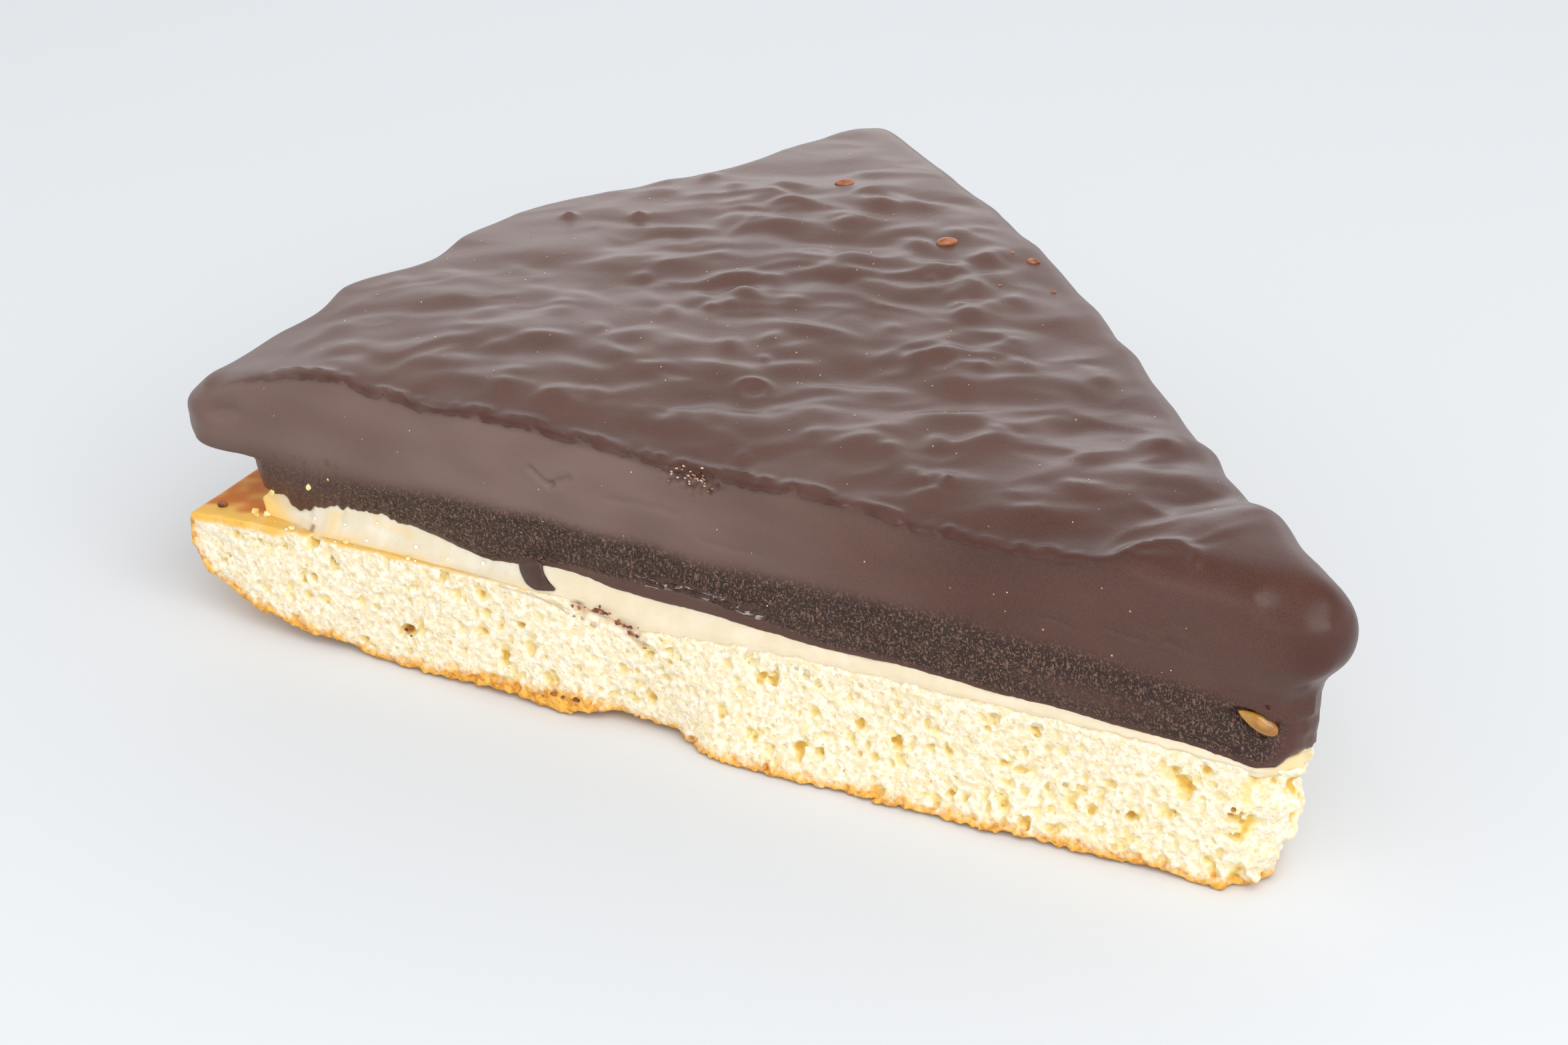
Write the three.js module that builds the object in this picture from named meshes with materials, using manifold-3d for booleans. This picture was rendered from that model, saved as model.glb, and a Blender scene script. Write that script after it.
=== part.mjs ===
// A slice of chocolate-topped cake: one eighth of a round cake, lying on its base.
// Three layers, each a closed body: a sponge base with a curled crust rim, a thin cream layer,
// and a thick chocolate topping that overhangs them. Millimetres, +Z up.
//
// Each layer is first shaped about the point where the two straight cuts would meet, with the
// rim towards -X. The finished slice is then centred on its bounding box and stands on z = 0.

import * as THREE from 'three';
import { mergeVertices } from 'three/addons/utils/BufferGeometryUtils.js';
import Module from 'manifold-3d';

const { sin, cos, hypot, atan2, exp, sqrt, floor, round, max, min, PI } = Math;
const { lerp, smoothstep } = THREE.MathUtils;

const wasm = await Module();
wasm.setup();

// Driving dimensions, in mm.
const CAKE_RADIUS = 140; // of the whole round cake
const SLICES = 8; // slices in the whole cake
const HALF_ANGLE = PI / SLICES; // from the middle of the slice to a cut
const LAYER_GAP = 0.3; // clearance between two layers
const CUT_CELL = 2.9; // size of a mesh cell on what shows
const HIDDEN_CELL = 14; // size of a mesh cell where a layer lies on another or on the table

const SPONGE = {
  top: 15.1,
  swell: 0.45, // the top rises and falls by this along the slice
  swellLength: 75,
  rimRadius: 148.6, // the curled crust reaches past the chocolate
  curlLength: 26.6, // how far in from the rim the underside starts to curl up
  curlHeight: 11.6, // height of the rim's widest line
  lipRound: 3, // how far the crust turns in again above that line
  tipCut: 8.2, // the thin tip is missing as far as this
  tipBow: 4, // its broken end bows out by this
  tipLean: 2.6, // and leans back by this towards the table
};
// The flat on which the slice lies, a triangle. Round it the underside clears the table by lift.
const REST_FACE = { tip: 20, rim: 110, width: 62, lift: 0.3, slope: 0.08 };
const CREAM = { rimRadius: 139.5, tipCut: 8.6, tipBow: 3.4, slope: 0.7 };
const CHOCOLATE = {
  bottomAtTip: 16.5,
  bottomRise: 1.7, // the underside is higher by this at the rim
  top: 36.7,
  dome: 0.7, // the middle of the top stands above its edges
  crest: 0.8, // the near top edge swells by this, two thirds of the way out
  fallStart: 122, // radius where the top starts to round down to the rim
  fall: 1.7,
  cornerFall: 4.8, // it falls further at the near corner
  fallLength: 22,
  rimRadius: 146.6,
  neck: 9.5, // the underside of the rim is set back by this
  shoulder: 4.5, // the top edge of the rim is rounded in by this
  cornerRound: 4.5,
  tipCut: 3.6,
  tipBow: 3,
  tipNeck: 3.6, // the tip is narrower below its rounded head
  tipSwell: 1.3, // the head stands above the top
  frontSetback: 2.6, // the foot of the front face, at the rim end
  backBulge: 2.6, // the coating's swelling on the far cut
};
const RIPPLE = { along: 13, across: 6.2, height: 0.55, turn: 0.863 }; // shallow waves of the coating
const LARGE_PORES = [
  // on the near cut: distance from the point, height, width and height of the opening
  [104.4, 5.4, 1.7, 3.6], [100.8, 7.9, 1.7, 3.2], [116, 6.2, 1.6, 2.7], [130, 5.3, 1.4, 2.1],
  [70.6, 11.7, 2.6, 2.1], [59.4, 7.1, 1.5, 1.9], [67.9, 2.4, 1.3, 1.8], [40.7, 9.2, 1.7, 2.3],
  [37.7, 2.4, 2, 2.3], [26.1, 3, 1.5, 2.1], [19.5, 11.6, 2.6, 3.6], [24.2, 7.1, 1.5, 1.6],
];
const PORE_COUNT = 34; // smaller pores, shared by the two cuts
const NUT_BITS = [[127.4, 16], [102.1, 17], [92.6, 21.4]]; // radius, and degrees from the middle
const NUT_SIZE = 1.15;
const DRIP = { from: 102, to: 97, low: 16, thick: 1.5 }; // the hooked run of chocolate on the near cut
const FRUIT_DROP = { along: 12.4, height: 21.2, long: 2.3, tall: 1.3, hollow: 1.4 };

// A repeatable random number from 0 to 1 for a lattice corner.
function corner(i, j, seed) {
  const wave = sin(i * 127.1 + j * 311.7 + seed * 74.7) * 43758.5453;
  return wave - floor(wave);
}

// Smooth noise from -1 to 1 with one lattice corner per unit.
function noise(x, y, seed) {
  const [i, j] = [floor(x), floor(y)];
  const [u, v] = [smoothstep(x - i, 0, 1), smoothstep(y - j, 0, 1)];
  const near = lerp(corner(i, j, seed), corner(i + 1, j, seed), u);
  const far = lerp(corner(i, j + 1, seed), corner(i + 1, j + 1, seed), u);
  return 2 * lerp(near, far, v) - 1;
}

// A bell of height 1 and half-width w round c.
function bell(x, c, w) {
  return exp(-(((x - c) / w) ** 2));
}

// How far a round corner cuts in at a distance from the side that ends it.
function cornerInset(distance, radius) {
  const k = max(0, 1 - distance / radius);
  return radius * (1 - sqrt(max(0, 1 - k * k)));
}

// The sponge. h runs from 0 on its underside to 1 on its top.
const sponge = {
  underside(x, y) {
    const reach = hypot(x, y);
    const curl = min(1, max(0, (reach - SPONGE.rimRadius + SPONGE.curlLength) / SPONGE.curlLength));
    const curled = SPONGE.curlHeight * (1 - sqrt(1 - (0.995 * curl) ** 2));
    const edge = max(0, 1 - distanceToCut(x, y) / 12) ** 2;
    const arch = 2.4 * bell(reach, 88, 3.4) + 0.7 * bell(reach, 36, 16) + 0.5 * bell(reach, 112, 12);
    const ragged = 0.35 + 0.35 * noise(reach / 4.5, 0.5, 3);
    return REST_FACE.lift + curled + edge * (arch + ragged);
  },
  top(x, y) {
    const reach = hypot(x, y);
    const lip = SPONGE.lipRound * smoothstep(reach, SPONGE.rimRadius - 14, SPONGE.rimRadius) ** 2;
    return SPONGE.top + SPONGE.swell * cos((2 * PI * (reach - 115)) / SPONGE.swellLength) - 0.5 * lip;
  },
  rim(angle, h) {
    return SPONGE.rimRadius - SPONGE.lipRound * h * h + 0.5 * noise(angle * 14, h, 5);
  },
  tip(q, h) {
    const side = (2 * q - 1) ** 2;
    const broken = SPONGE.tipLean * (1 - h) * (1 - 0.75 * side) + 0.7 * noise(q * 5, h * 4, 7);
    return SPONGE.tipCut + SPONGE.tipBow * side + broken;
  },
  front(reach, h) {
    return 0.3 * noise(reach / 6, h * 2, 9) + 0.5 * (1 - h) * bell(reach, 62, 16);
  },
  back(reach, h) {
    return 0.3 * noise(reach / 6, h * 2, 11);
  },
};

// The chocolate. h runs from 0 on its underside to 1 on its top.
const chocolate = {
  underside(x, y) {
    return CHOCOLATE.bottomAtTip + (CHOCOLATE.bottomRise * hypot(x, y)) / CAKE_RADIUS;
  },
  top(x, y) {
    const reach = hypot(x, y);
    const past = max(0, reach - CHOCOLATE.fallStart) / CHOCOLATE.fallLength;
    const fromCut = distanceToCut(x, y);
    const nearCorner = smoothstep(-atan2(y, -x) / HALF_ANGLE, 0.35, 1);
    const fall = lerp(CHOCOLATE.fall, CHOCOLATE.cornerFall, nearCorner) * past * past;
    const swell = CHOCOLATE.dome * (1 - exp(-fromCut / 9)) + CHOCOLATE.crest * bell(reach, 104, 18);
    const head = CHOCOLATE.tipSwell * smoothstep(34 - reach, 0, 10) - 3 * smoothstep(11 - reach, 0, 8) ** 2;
    const [ct, st] = [cos(RIPPLE.turn), sin(RIPPLE.turn)];
    const [along, across] = [(x * ct + y * st) / RIPPLE.along, (y * ct - x * st) / RIPPLE.across];
    const calm = smoothstep(fromCut, 0, 7) * (1 - 0.7 * smoothstep(reach, 118, 140));
    const ripple = RIPPLE.height * noise(along, across, 1) * (0.25 + 0.75 * calm);
    return CHOCOLATE.top + swell - fall + head + ripple;
  },
  rim(angle, h) {
    const degrees = THREE.MathUtils.radToDeg(angle);
    const lumps = 1.6 * bell(degrees, 1, 4) - 2 * bell(degrees, 10, 4) + 3 * bell(degrees, 20, 4)
      + 2.6 * bell(degrees, -22, 3) + 0.6 * noise(angle * 22, h, 13);
    const neck = CHOCOLATE.neck * (0.8 + 0.2 * noise(angle * 12, 1.5, 15)) * (1 - smoothstep(h, 0.14, 0.54));
    const shoulder = CHOCOLATE.shoulder * smoothstep(h, 0.66, 1) ** 2;
    const fromCut = CAKE_RADIUS * (HALF_ANGLE - Math.abs(angle));
    return CHOCOLATE.rimRadius + lumps - neck - shoulder - cornerInset(fromCut, CHOCOLATE.cornerRound);
  },
  tip(q, h) {
    const neck = CHOCOLATE.tipNeck * (1 - smoothstep(h, 0.38, 0.62));
    const crease = 1.6 * bell(h, 0.1, 0.06);
    const brow = 4.2 * smoothstep(h, 0.7, 1) ** 2;
    return CHOCOLATE.tipCut + CHOCOLATE.tipBow * (2 * q - 1) ** 2 + neck + crease + brow;
  },
  front(reach, h) {
    const setback = lerp(0.3, CHOCOLATE.frontSetback, smoothstep(reach, 20, 132)) * (1 - h) ** 2;
    const head = 1.6 * bell(reach, 4, 9) * bell(h, 0.72, 0.3);
    const lobe = 0.8 * bell(reach, 143, 6) * bell(h, 0.6, 0.3);
    return 0.5 * sin(PI * h) - setback + head + lobe + 0.2 * noise(reach / 8, h * 2, 17);
  },
  back(reach, h) {
    const beads = 0.55 * noise(reach / 5.5, h * 1.5, 19);
    const waist = 0.45 + 0.55 * smoothstep(h, 0.2, 0.7);
    const level = lerp(0.5, 1, smoothstep(reach, 30, 70)) * (1 - smoothstep(reach, 122, 142));
    return (CHOCOLATE.backBulge * level + beads) * waist - 1.6 * smoothstep(h, 0.75, 1) ** 2;
  },
};

// The cream fills the space between them, a clearance away from each.
const cream = {
  underside: (x, y) => sponge.top(x, y) + LAYER_GAP,
  top: (x, y) => chocolate.underside(x, y) - LAYER_GAP,
  rim: (angle, h) => CREAM.rimRadius - 1.2 * h + 0.8 * noise(angle * 26, 0.5, 21),
  tip: (q, h) => CREAM.tipCut + CREAM.tipBow * (2 * q - 1) ** 2 + 0.4 * h,
  front: (reach, h) => -0.2 - h * lerp(0.2, CHOCOLATE.frontSetback + CREAM.slope - 1.2,
    smoothstep(reach, 20, 132)),
  back: (reach, h) => -0.2 - 0.3 * h,
};

function distanceToCut(x, y) {
  const angle = atan2(y, -x);
  return max(0, hypot(x, y) * sin(HALF_ANGLE - Math.abs(angle)));
}

// The place of a layer's surface point: p from the rim (0) to the tip (1), q from the near cut (0)
// to the far one (1), h from the underside (0) to the top (1).
function place(layer, p, q, h) {
  const angle = lerp(-HALF_ANGLE, HALF_ANGLE, q);
  const reach = lerp(layer.rim(angle, h), layer.tip(q, h), p);
  const front = layer.front(reach, h) * max(0, 1 - 2 * q);
  const back = layer.back(reach, h) * max(0, 2 * q - 1);
  const x = -reach * cos(angle) + (front + back) * sin(HALF_ANGLE);
  const y = reach * sin(angle) + (back - front) * cos(HALF_ANGLE);
  return [x, y, lerp(layer.underside(x, y), layer.top(x, y), h)];
}

// Joins two rows of points, given by index, with a band of triangles.
function stitch(faces, a, b) {
  let [i, j] = [0, 0];
  while (i < a.length - 1 || j < b.length - 1) {
    const behind = (i + 1) * (b.length - 1) <= (j + 1) * (a.length - 1);
    const stepA = j === b.length - 1 || (i < a.length - 1 && behind);
    faces.push(a[i], b[j], stepA ? a[i + 1] : b[j + 1]);
    if (stepA) i += 1;
    else j += 1;
  }
}

// A closed body for a layer: a sheet of cells on its top and on its underside, and rings of cells
// round its sides, at the given heights.
function slab(layer, heights, topCell) {
  const points = [];
  const faces = [];
  const add = (p, q, h) => {
    points.push(...place(layer, p, q, h));
    return points.length / 3 - 1;
  };
  const rows = round(CAKE_RADIUS / CUT_CELL);
  const row = (j, h, cell) => {
    const p = j / rows;
    const width = 2 * HALF_ANGLE * lerp(layer.rim(0, 0.5), layer.tip(0.5, 0.5), p);
    const atEnd = j === 0 || j === rows;
    const count = max(3, round(width / (atEnd ? CUT_CELL : cell)));
    return Array.from({ length: count + 1 }, (_, k) => add(p, k / count, h));
  };
  const sheet = (h, cell) => Array.from({ length: rows + 1 }, (_, j) => row(j, h, cell));
  const outline = (sheetRows) => [
    ...sheetRows.map((r) => r[0]),
    ...sheetRows[rows].slice(1, -1),
    ...sheetRows.map((r) => r.at(-1)).reverse(),
    ...sheetRows[0].slice(1, -1).reverse(),
    sheetRows[0][0],
  ];
  const ring = (h) => {
    const ends = [0, rows].map((j) => row(j, h, CUT_CELL));
    const between = Array.from({ length: rows - 1 }, (_, j) => [0, 1].map((q) => add((j + 1) / rows, q, h)));
    return outline([ends[0], ...between, ends[1]]);
  };

  const bottom = sheet(0, HIDDEN_CELL);
  const top = sheet(1, topCell);
  for (let j = 0; j < rows; j++) {
    stitch(faces, top[j], top[j + 1]);
    stitch(faces, bottom[j + 1], bottom[j]);
  }
  const rings = [outline(bottom), ...heights.map(ring), outline(top)];
  for (let k = 0; k < rings.length - 1; k++) stitch(faces, rings[k + 1], rings[k]);
  return solidOf(points, faces);
}

function solidOf(points, faces) {
  const geometry = new THREE.BufferGeometry();
  geometry.setAttribute('position', new THREE.Float32BufferAttribute(points, 3));
  geometry.setIndex(faces);
  return solidFrom(geometry);
}

// A manifold solid from a closed three.js geometry.
function solidFrom(geometry) {
  const bare = geometry.clone();
  bare.deleteAttribute('normal');
  bare.deleteAttribute('uv');
  const merged = mergeVertices(bare, 1e-4);
  const vertProperties = new Float32Array(merged.attributes.position.array);
  const triVerts = new Uint32Array(merged.index.array);
  return new wasm.Manifold(new wasm.Mesh({ numProp: 3, vertProperties, triVerts }));
}

function meshOf(name, solid, material) {
  const { numProp, vertProperties, triVerts } = solid.getMesh();
  const positions = Array.from({ length: vertProperties.length / numProp }, (_, i) =>
    Array.from(vertProperties.slice(i * numProp, i * numProp + 3))).flat();
  const geometry = new THREE.BufferGeometry();
  geometry.setAttribute('position', new THREE.Float32BufferAttribute(positions, 3));
  geometry.setIndex(Array.from(triVerts));
  geometry.computeVertexNormals();
  const mesh = new THREE.Mesh(geometry, material);
  mesh.name = name;
  return mesh;
}

// A low-sided pebble with the given half-sizes, turned about Z and set at a place.
function pebble(halfSizes, turn, at, detail = 0) {
  const geometry = new THREE.IcosahedronGeometry(1, detail);
  geometry.scale(...halfSizes);
  geometry.rotateZ(turn);
  geometry.translate(...at);
  return solidFrom(geometry);
}

// A point on a cut, from its distance to the point of the wedge, its height and how far out it is.
// side is -1 for the near cut and 1 for the far one.
function onCut(side, along, height, out = 0) {
  const x = -along * cos(HALF_ANGLE) + out * sin(HALF_ANGLE);
  const y = side * (along * sin(HALF_ANGLE) + out * cos(HALF_ANGLE));
  return [x, y, height];
}

const cutTurn = (side) => -side * HALF_ANGLE;

function pores() {
  const large = LARGE_PORES.map(([along, height, width, tall]) =>
    pebble([width / 2, 1.3, tall / 2], cutTurn(-1), onCut(-1, along, height), 1));
  const small = Array.from({ length: PORE_COUNT }, (_, k) => {
    const side = k % 2 ? 1 : -1;
    const along = lerp(18, 138, (k + 0.7 * corner(k, 1, 23)) / PORE_COUNT);
    const height = lerp(3.4, 11.8, corner(k, 2, 23));
    const size = lerp(0.7, 1.25, corner(k, 3, 23));
    return pebble([size, 0.9, size * 0.85], cutTurn(side), onCut(side, along, height, 0.1));
  });
  return wasm.Manifold.union([...large, ...small]);
}

// The flat as a shallow three-sided pad that widens upwards and ends inside the sponge.
function restPad() {
  const { tip, rim, width, lift, slope } = REST_FACE;
  const thick = 4 * lift;
  const length = (2 / 3) * (rim - tip); // a unit three-sided pad is 3/2 long and sqrt(3) wide
  const geometry = new THREE.CylinderGeometry(1 + slope * thick, 1, thick, 3);
  geometry.rotateX(PI / 2);
  geometry.rotateZ(PI / 2);
  geometry.scale(length, width / sqrt(3), 1);
  geometry.translate(-tip - length, 0, thick / 2);
  return solidFrom(geometry);
}

function spongeBase() {
  const body = slab(sponge, [0.12, 0.34, 0.58, 0.8, 0.94], HIDDEN_CELL);
  return body.add(restPad()).subtract(wasm.Manifold.union([pores(), ...drip(LAYER_GAP)]));
}

function creamLayer() {
  return wasm.Manifold.difference([slab(cream, [], HIDDEN_CELL), ...drip(LAYER_GAP)]);
}

// The hooked run: a string of pebbles that drops and turns towards the tip, all grown by a clearance.
function drip(clearance) {
  const steps = 8;
  return Array.from({ length: steps }, (_, k) => {
    const t = k / (steps - 1);
    const along = lerp(DRIP.from, DRIP.to, t * t);
    const height = lerp(19.5, DRIP.low, sin(0.5 * PI * t));
    const thick = DRIP.thick * (1 - 0.4 * t) + clearance;
    const at = onCut(-1, along, height, lerp(-2, 1.2, t));
    return pebble([thick, 1 + clearance, thick], cutTurn(-1), at, 1);
  });
}

function nutBits() {
  return NUT_BITS.map(([reach, degrees]) => {
    const angle = THREE.MathUtils.degToRad(degrees);
    const [x, y] = [-reach * cos(angle), reach * sin(angle)];
    return pebble([NUT_SIZE, 0.8 * NUT_SIZE, 0.7 * NUT_SIZE], angle, [x, y, chocolate.top(x, y) + 0.2]);
  });
}

// The drop of clear fruit sits in a hollow near the foot of the tip.
function withFruitDrop(body) {
  const { along, height, long, tall, hollow } = FRUIT_DROP;
  const turn = cutTurn(-1);
  const hole = pebble([long * hollow, 1.9, tall * hollow], turn, onCut(-1, along, height, 0.3), 1);
  const drop = pebble([long, 1.6, tall], turn, onCut(-1, along - 0.5, height - 0.2, -0.9), 1);
  return body.subtract(hole).add(drop);
}

function chocolateTopping() {
  const body = slab(chocolate, [0.07, 0.16, 0.28, 0.42, 0.56, 0.7, 0.82, 0.92], CUT_CELL);
  return wasm.Manifold.union([withFruitDrop(body), ...drip(0), ...nutBits()]);
}

const crumb = new THREE.MeshStandardMaterial({ color: 0xf6ebcb, roughness: 0.9, metalness: 0 });
const butterCream = new THREE.MeshStandardMaterial({ color: 0xf0e2c4, roughness: 0.55, metalness: 0 });
const darkChocolate = new THREE.MeshStandardMaterial({ color: 0x4e362e, roughness: 0.35, metalness: 0 });

const slice = new THREE.Group();
slice.add(
  meshOf('sponge_base', spongeBase(), crumb),
  meshOf('cream_layer', creamLayer(), butterCream),
  meshOf('chocolate_topping', chocolateTopping(), darkChocolate),
);

const box = new THREE.Box3().setFromObject(slice);
const middle = box.getCenter(new THREE.Vector3());
slice.position.set(-middle.x, -middle.y, -box.min.z);

const group = new THREE.Group();
group.add(slice);
export default group;
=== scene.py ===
"""A slice of chocolate-topped cake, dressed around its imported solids.

Three layers are made here as fine closed meshes: an airy sponge base with a baked crust, a thin
cream layer and a thick chocolate topping with nut bits, a hooked drip and a drop of candied fruit.

Shapes are worked out in millimetres about the point where the two straight cuts would meet, with
the rim towards -X and +Z up. A mesh is moved to the frame and scaled to metres when it is made.
A place on a cut is given by `along`, the distance from that point, `out`, how far it stands proud
of the cut, and its height.
"""

import logging
import math
from abc import ABC, abstractmethod
from dataclasses import dataclass, field
from enum import Enum
from typing import Callable, Optional, Sequence

import bmesh
import bpy
import numpy as np
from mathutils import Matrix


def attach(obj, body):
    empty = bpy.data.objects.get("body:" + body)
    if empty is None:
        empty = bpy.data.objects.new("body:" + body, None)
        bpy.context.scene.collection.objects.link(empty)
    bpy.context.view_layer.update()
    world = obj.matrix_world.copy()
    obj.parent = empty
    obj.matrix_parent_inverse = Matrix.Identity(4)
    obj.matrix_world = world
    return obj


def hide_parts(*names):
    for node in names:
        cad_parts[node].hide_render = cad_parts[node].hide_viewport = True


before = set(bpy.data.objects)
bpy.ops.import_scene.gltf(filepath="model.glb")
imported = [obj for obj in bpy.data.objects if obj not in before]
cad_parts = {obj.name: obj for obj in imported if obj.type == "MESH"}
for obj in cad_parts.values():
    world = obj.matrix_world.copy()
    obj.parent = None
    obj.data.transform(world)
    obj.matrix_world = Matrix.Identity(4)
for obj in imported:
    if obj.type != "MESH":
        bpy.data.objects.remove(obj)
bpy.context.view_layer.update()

import openvdb as vdb
from mathutils import Vector

log = logging.getLogger("cake_slice")

Array = np.ndarray
Colour = tuple[float, float, float, float]

MM = 0.001
HALF_ANGLE = math.pi / 8  # from the middle of the slice to a cut
SIN, COS = math.sin(HALF_ANGLE), math.cos(HALF_ANGLE)
CAKE_RADIUS = 140.0
CORNER_GAP = 0.293  # between a square corner and a round one, as a share of the radius each way
MEETING_POINT = np.array([76.146, -0.068, 0.0])  # of the two cuts, in the frame


class Side(Enum):
    """The two straight cuts."""

    NEAR = -1
    FAR = 1


# Formulas that work on numbers and arrays alike


def lerp(a: Array, b: Array, t: Array) -> Array:
    """The value a share t of the way from a to b."""
    return a + (b - a) * t


def smoothstep(x: Array, low: float, high: float) -> Array:
    """A smooth step from 0 at low to 1 at high."""
    t = np.clip((x - low) / (high - low), 0.0, 1.0)
    return t * t * (3 - 2 * t)


def bell(x: Array, centre: float, width: float) -> Array:
    """A bell of height 1 and half-width width round centre."""
    return np.exp(-(((x - centre) / width) ** 2))


def corner(i: Array, j: Array, seed: float) -> Array:
    """A repeatable random number from 0 to 1 for a lattice corner."""
    wave = np.sin(i * 127.1 + j * 311.7 + seed * 74.7) * 43758.5453
    return wave - np.floor(wave)


def noise(x: Array, y: Array, seed: float) -> Array:
    """Smooth noise from -1 to 1 with one lattice corner per unit.

    Args:
        x: Along X.
        y: Along Y.
        seed: Which noise.

    Returns:
        The noise.
    """
    i, j = np.floor(x), np.floor(y)
    u, v = smoothstep(x - i, 0, 1), smoothstep(y - j, 0, 1)
    near = lerp(corner(i, j, seed), corner(i + 1, j, seed), u)
    far = lerp(corner(i, j + 1, seed), corner(i + 1, j + 1, seed), u)
    return 2 * lerp(near, far, v) - 1


def waves(x: Array, y: Array, seed: float) -> Array:
    """Gradient noise from about -1 to 1, rounder than noise() and without its flat spots.

    Args:
        x: Along X.
        y: Along Y.
        seed: Which noise.

    Returns:
        The noise.
    """
    x, y = np.broadcast_arrays(np.asarray(x, float), np.asarray(y, float))
    i, j = np.floor(x), np.floor(y)
    a, b = x - i, y - j
    total = np.zeros_like(x)
    fade_a, fade_b = a**3 * (a * (6 * a - 15) + 10), b**3 * (b * (6 * b - 15) + 10)
    for di in (0, 1):
        for dj in (0, 1):
            turn = 2 * math.pi * corner(i + di, j + dj, seed)
            slope = np.cos(turn) * (a - di) + np.sin(turn) * (b - dj)
            weight = (fade_a if di else 1 - fade_a) * (fade_b if dj else 1 - fade_b)
            total += weight * slope
    return 1.6 * total


def corner_inset(distance: Array, radius: float) -> Array:
    """How far a round corner cuts in at a distance from the side that ends it."""
    k = np.maximum(0, 1 - distance / radius)
    return radius * (1 - np.sqrt(np.maximum(0, 1 - k * k)))


def soft_min(a: Array, b: Array, blend: float) -> Array:
    """The smaller of two distances, with the edge where they meet rounded over blend."""
    k = np.maximum(0, blend - np.abs(a - b)) / blend
    return np.minimum(a, b) - 0.25 * blend * k * k


def out_of_cut(x: Array, y: Array, side: Side) -> Array:
    """How far a place stands out of a cut."""
    return x * SIN + side.value * y * COS


def along_cut(x: Array, y: Array, side: Side) -> Array:
    """How far along a cut a place is."""
    return -x * COS + side.value * y * SIN


def on_cut(side: Side, along: Array, height: Array, out: Array = 0.0) -> Array:
    """The point on a cut at a distance along it, a height, and a distance out of it.

    Args:
        side: The cut.
        along: Distance along the cut.
        height: Height.
        out: How far it stands proud.

    Returns:
        The points.
    """
    along, height, out = np.broadcast_arrays(np.asarray(along, float), height, out)
    x = -along * COS + out * SIN
    y = side.value * (along * SIN + out * COS)
    return np.stack([x, y, height], -1)


def from_middle(reach: float, degrees: float) -> tuple[float, float]:
    """The place at a distance from the meeting point and an angle from the middle of the slice."""
    turn = math.radians(degrees)
    return -reach * math.cos(turn), reach * math.sin(turn)


def distance_to_cut(x: Array, y: Array) -> Array:
    """How far inside the nearer cut a place is."""
    angle = np.arctan2(y, -x)
    return np.maximum(0, np.hypot(x, y) * np.sin(HALF_ANGLE - np.abs(angle)))


def follow(s: Array, line: Sequence[tuple[float, float]]) -> Array:
    """The height at s of a line through points (s, height) in rising order, a little smoothed."""
    places, heights = zip(*line)
    return sum(np.interp(s + shift, places, heights) for shift in (-0.7, 0.0, 0.7)) / 3


def near_segment(s: Array, z: Array, a: Sequence[float], b: Sequence[float]) -> Array:
    """The distance from places (s, z) to the segment from a to b."""
    d = (b[0] - a[0], b[1] - a[1])
    t = np.clip(((s - a[0]) * d[0] + (z - a[1]) * d[1]) / (d[0] ** 2 + d[1] ** 2), 0, 1)
    return np.hypot(s - a[0] - t * d[0], z - a[1] - t * d[1])


def colour(code: int) -> Colour:
    """The linear colour of a six-digit screen colour code."""
    shades = [((code >> shift) & 255) / 255 for shift in (16, 8, 0)]
    linear = [c / 12.92 if c <= 0.04045 else ((c + 0.055) / 1.055) ** 2.4 for c in shades]
    return (*linear, 1.0)


# Meshes


def make_piece(name: str, points: Array, faces: Sequence, tones: Optional[Array] = None) -> bpy.types.Object:
    """Makes an object from points in the slice's own millimetres.

    Args:
        name: The piece's name.
        points: The points, one row each.
        faces: The faces, each a row of point numbers.
        tones: Four finish weights for each point, kept as the colour attribute "tones".

    Returns:
        The new object, smooth shaded and linked to the scene.
    """
    mesh = bpy.data.meshes.new(name)
    placed = (points + MEETING_POINT) * MM
    mesh.from_pydata(placed.tolist(), [], [list(f) for f in np.asarray(faces).tolist()]
                     if isinstance(faces, np.ndarray) else faces)
    mesh.polygons.foreach_set("use_smooth", [True] * len(mesh.polygons))
    if tones is not None:
        layer = mesh.color_attributes.new("tones", "FLOAT_COLOR", "POINT")
        layer.data.foreach_set("color", np.clip(tones, 0, 1).astype(np.float32).ravel())
    mesh.update()
    piece = bpy.data.objects.new(name, mesh)
    bpy.context.scene.collection.objects.link(piece)
    return piece


def settle(piece: bpy.types.Object, material: bpy.types.Material, slot: str, *nodes: str) -> bpy.types.Object:
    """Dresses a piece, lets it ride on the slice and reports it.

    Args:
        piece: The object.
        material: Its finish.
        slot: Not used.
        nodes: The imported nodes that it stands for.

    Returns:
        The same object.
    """
    piece.data.materials.append(material)
    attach(piece, "root")
    if nodes:
        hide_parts(*nodes)
    log.info("%s: %d points, %d faces", piece.name, len(piece.data.vertices), len(piece.data.polygons))
    return piece


def largest_part(points: Array, faces: Array) -> tuple[Array, Array]:
    """Keeps the largest connected part of a mesh and drops loose crumbs and sealed bubbles.

    Args:
        points: Its points.
        faces: Its faces.

    Returns:
        The points and faces that are kept.
    """
    edges = np.concatenate([faces[:, [i, (i + 1) % faces.shape[1]]] for i in range(faces.shape[1])])
    label = np.arange(len(points))
    while True:
        low = label[edges].min(1)
        new = label.copy()
        np.minimum.at(new, edges[:, 0], low)
        np.minimum.at(new, edges[:, 1], low)
        new = new[new]
        if np.array_equal(new, label):
            break
        label = new
    names, counts = np.unique(label, return_counts=True)
    kept = label == names[counts.argmax()]
    number = np.cumsum(kept) - 1
    return points[kept], number[faces[kept[faces[:, 0]]]]


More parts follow.
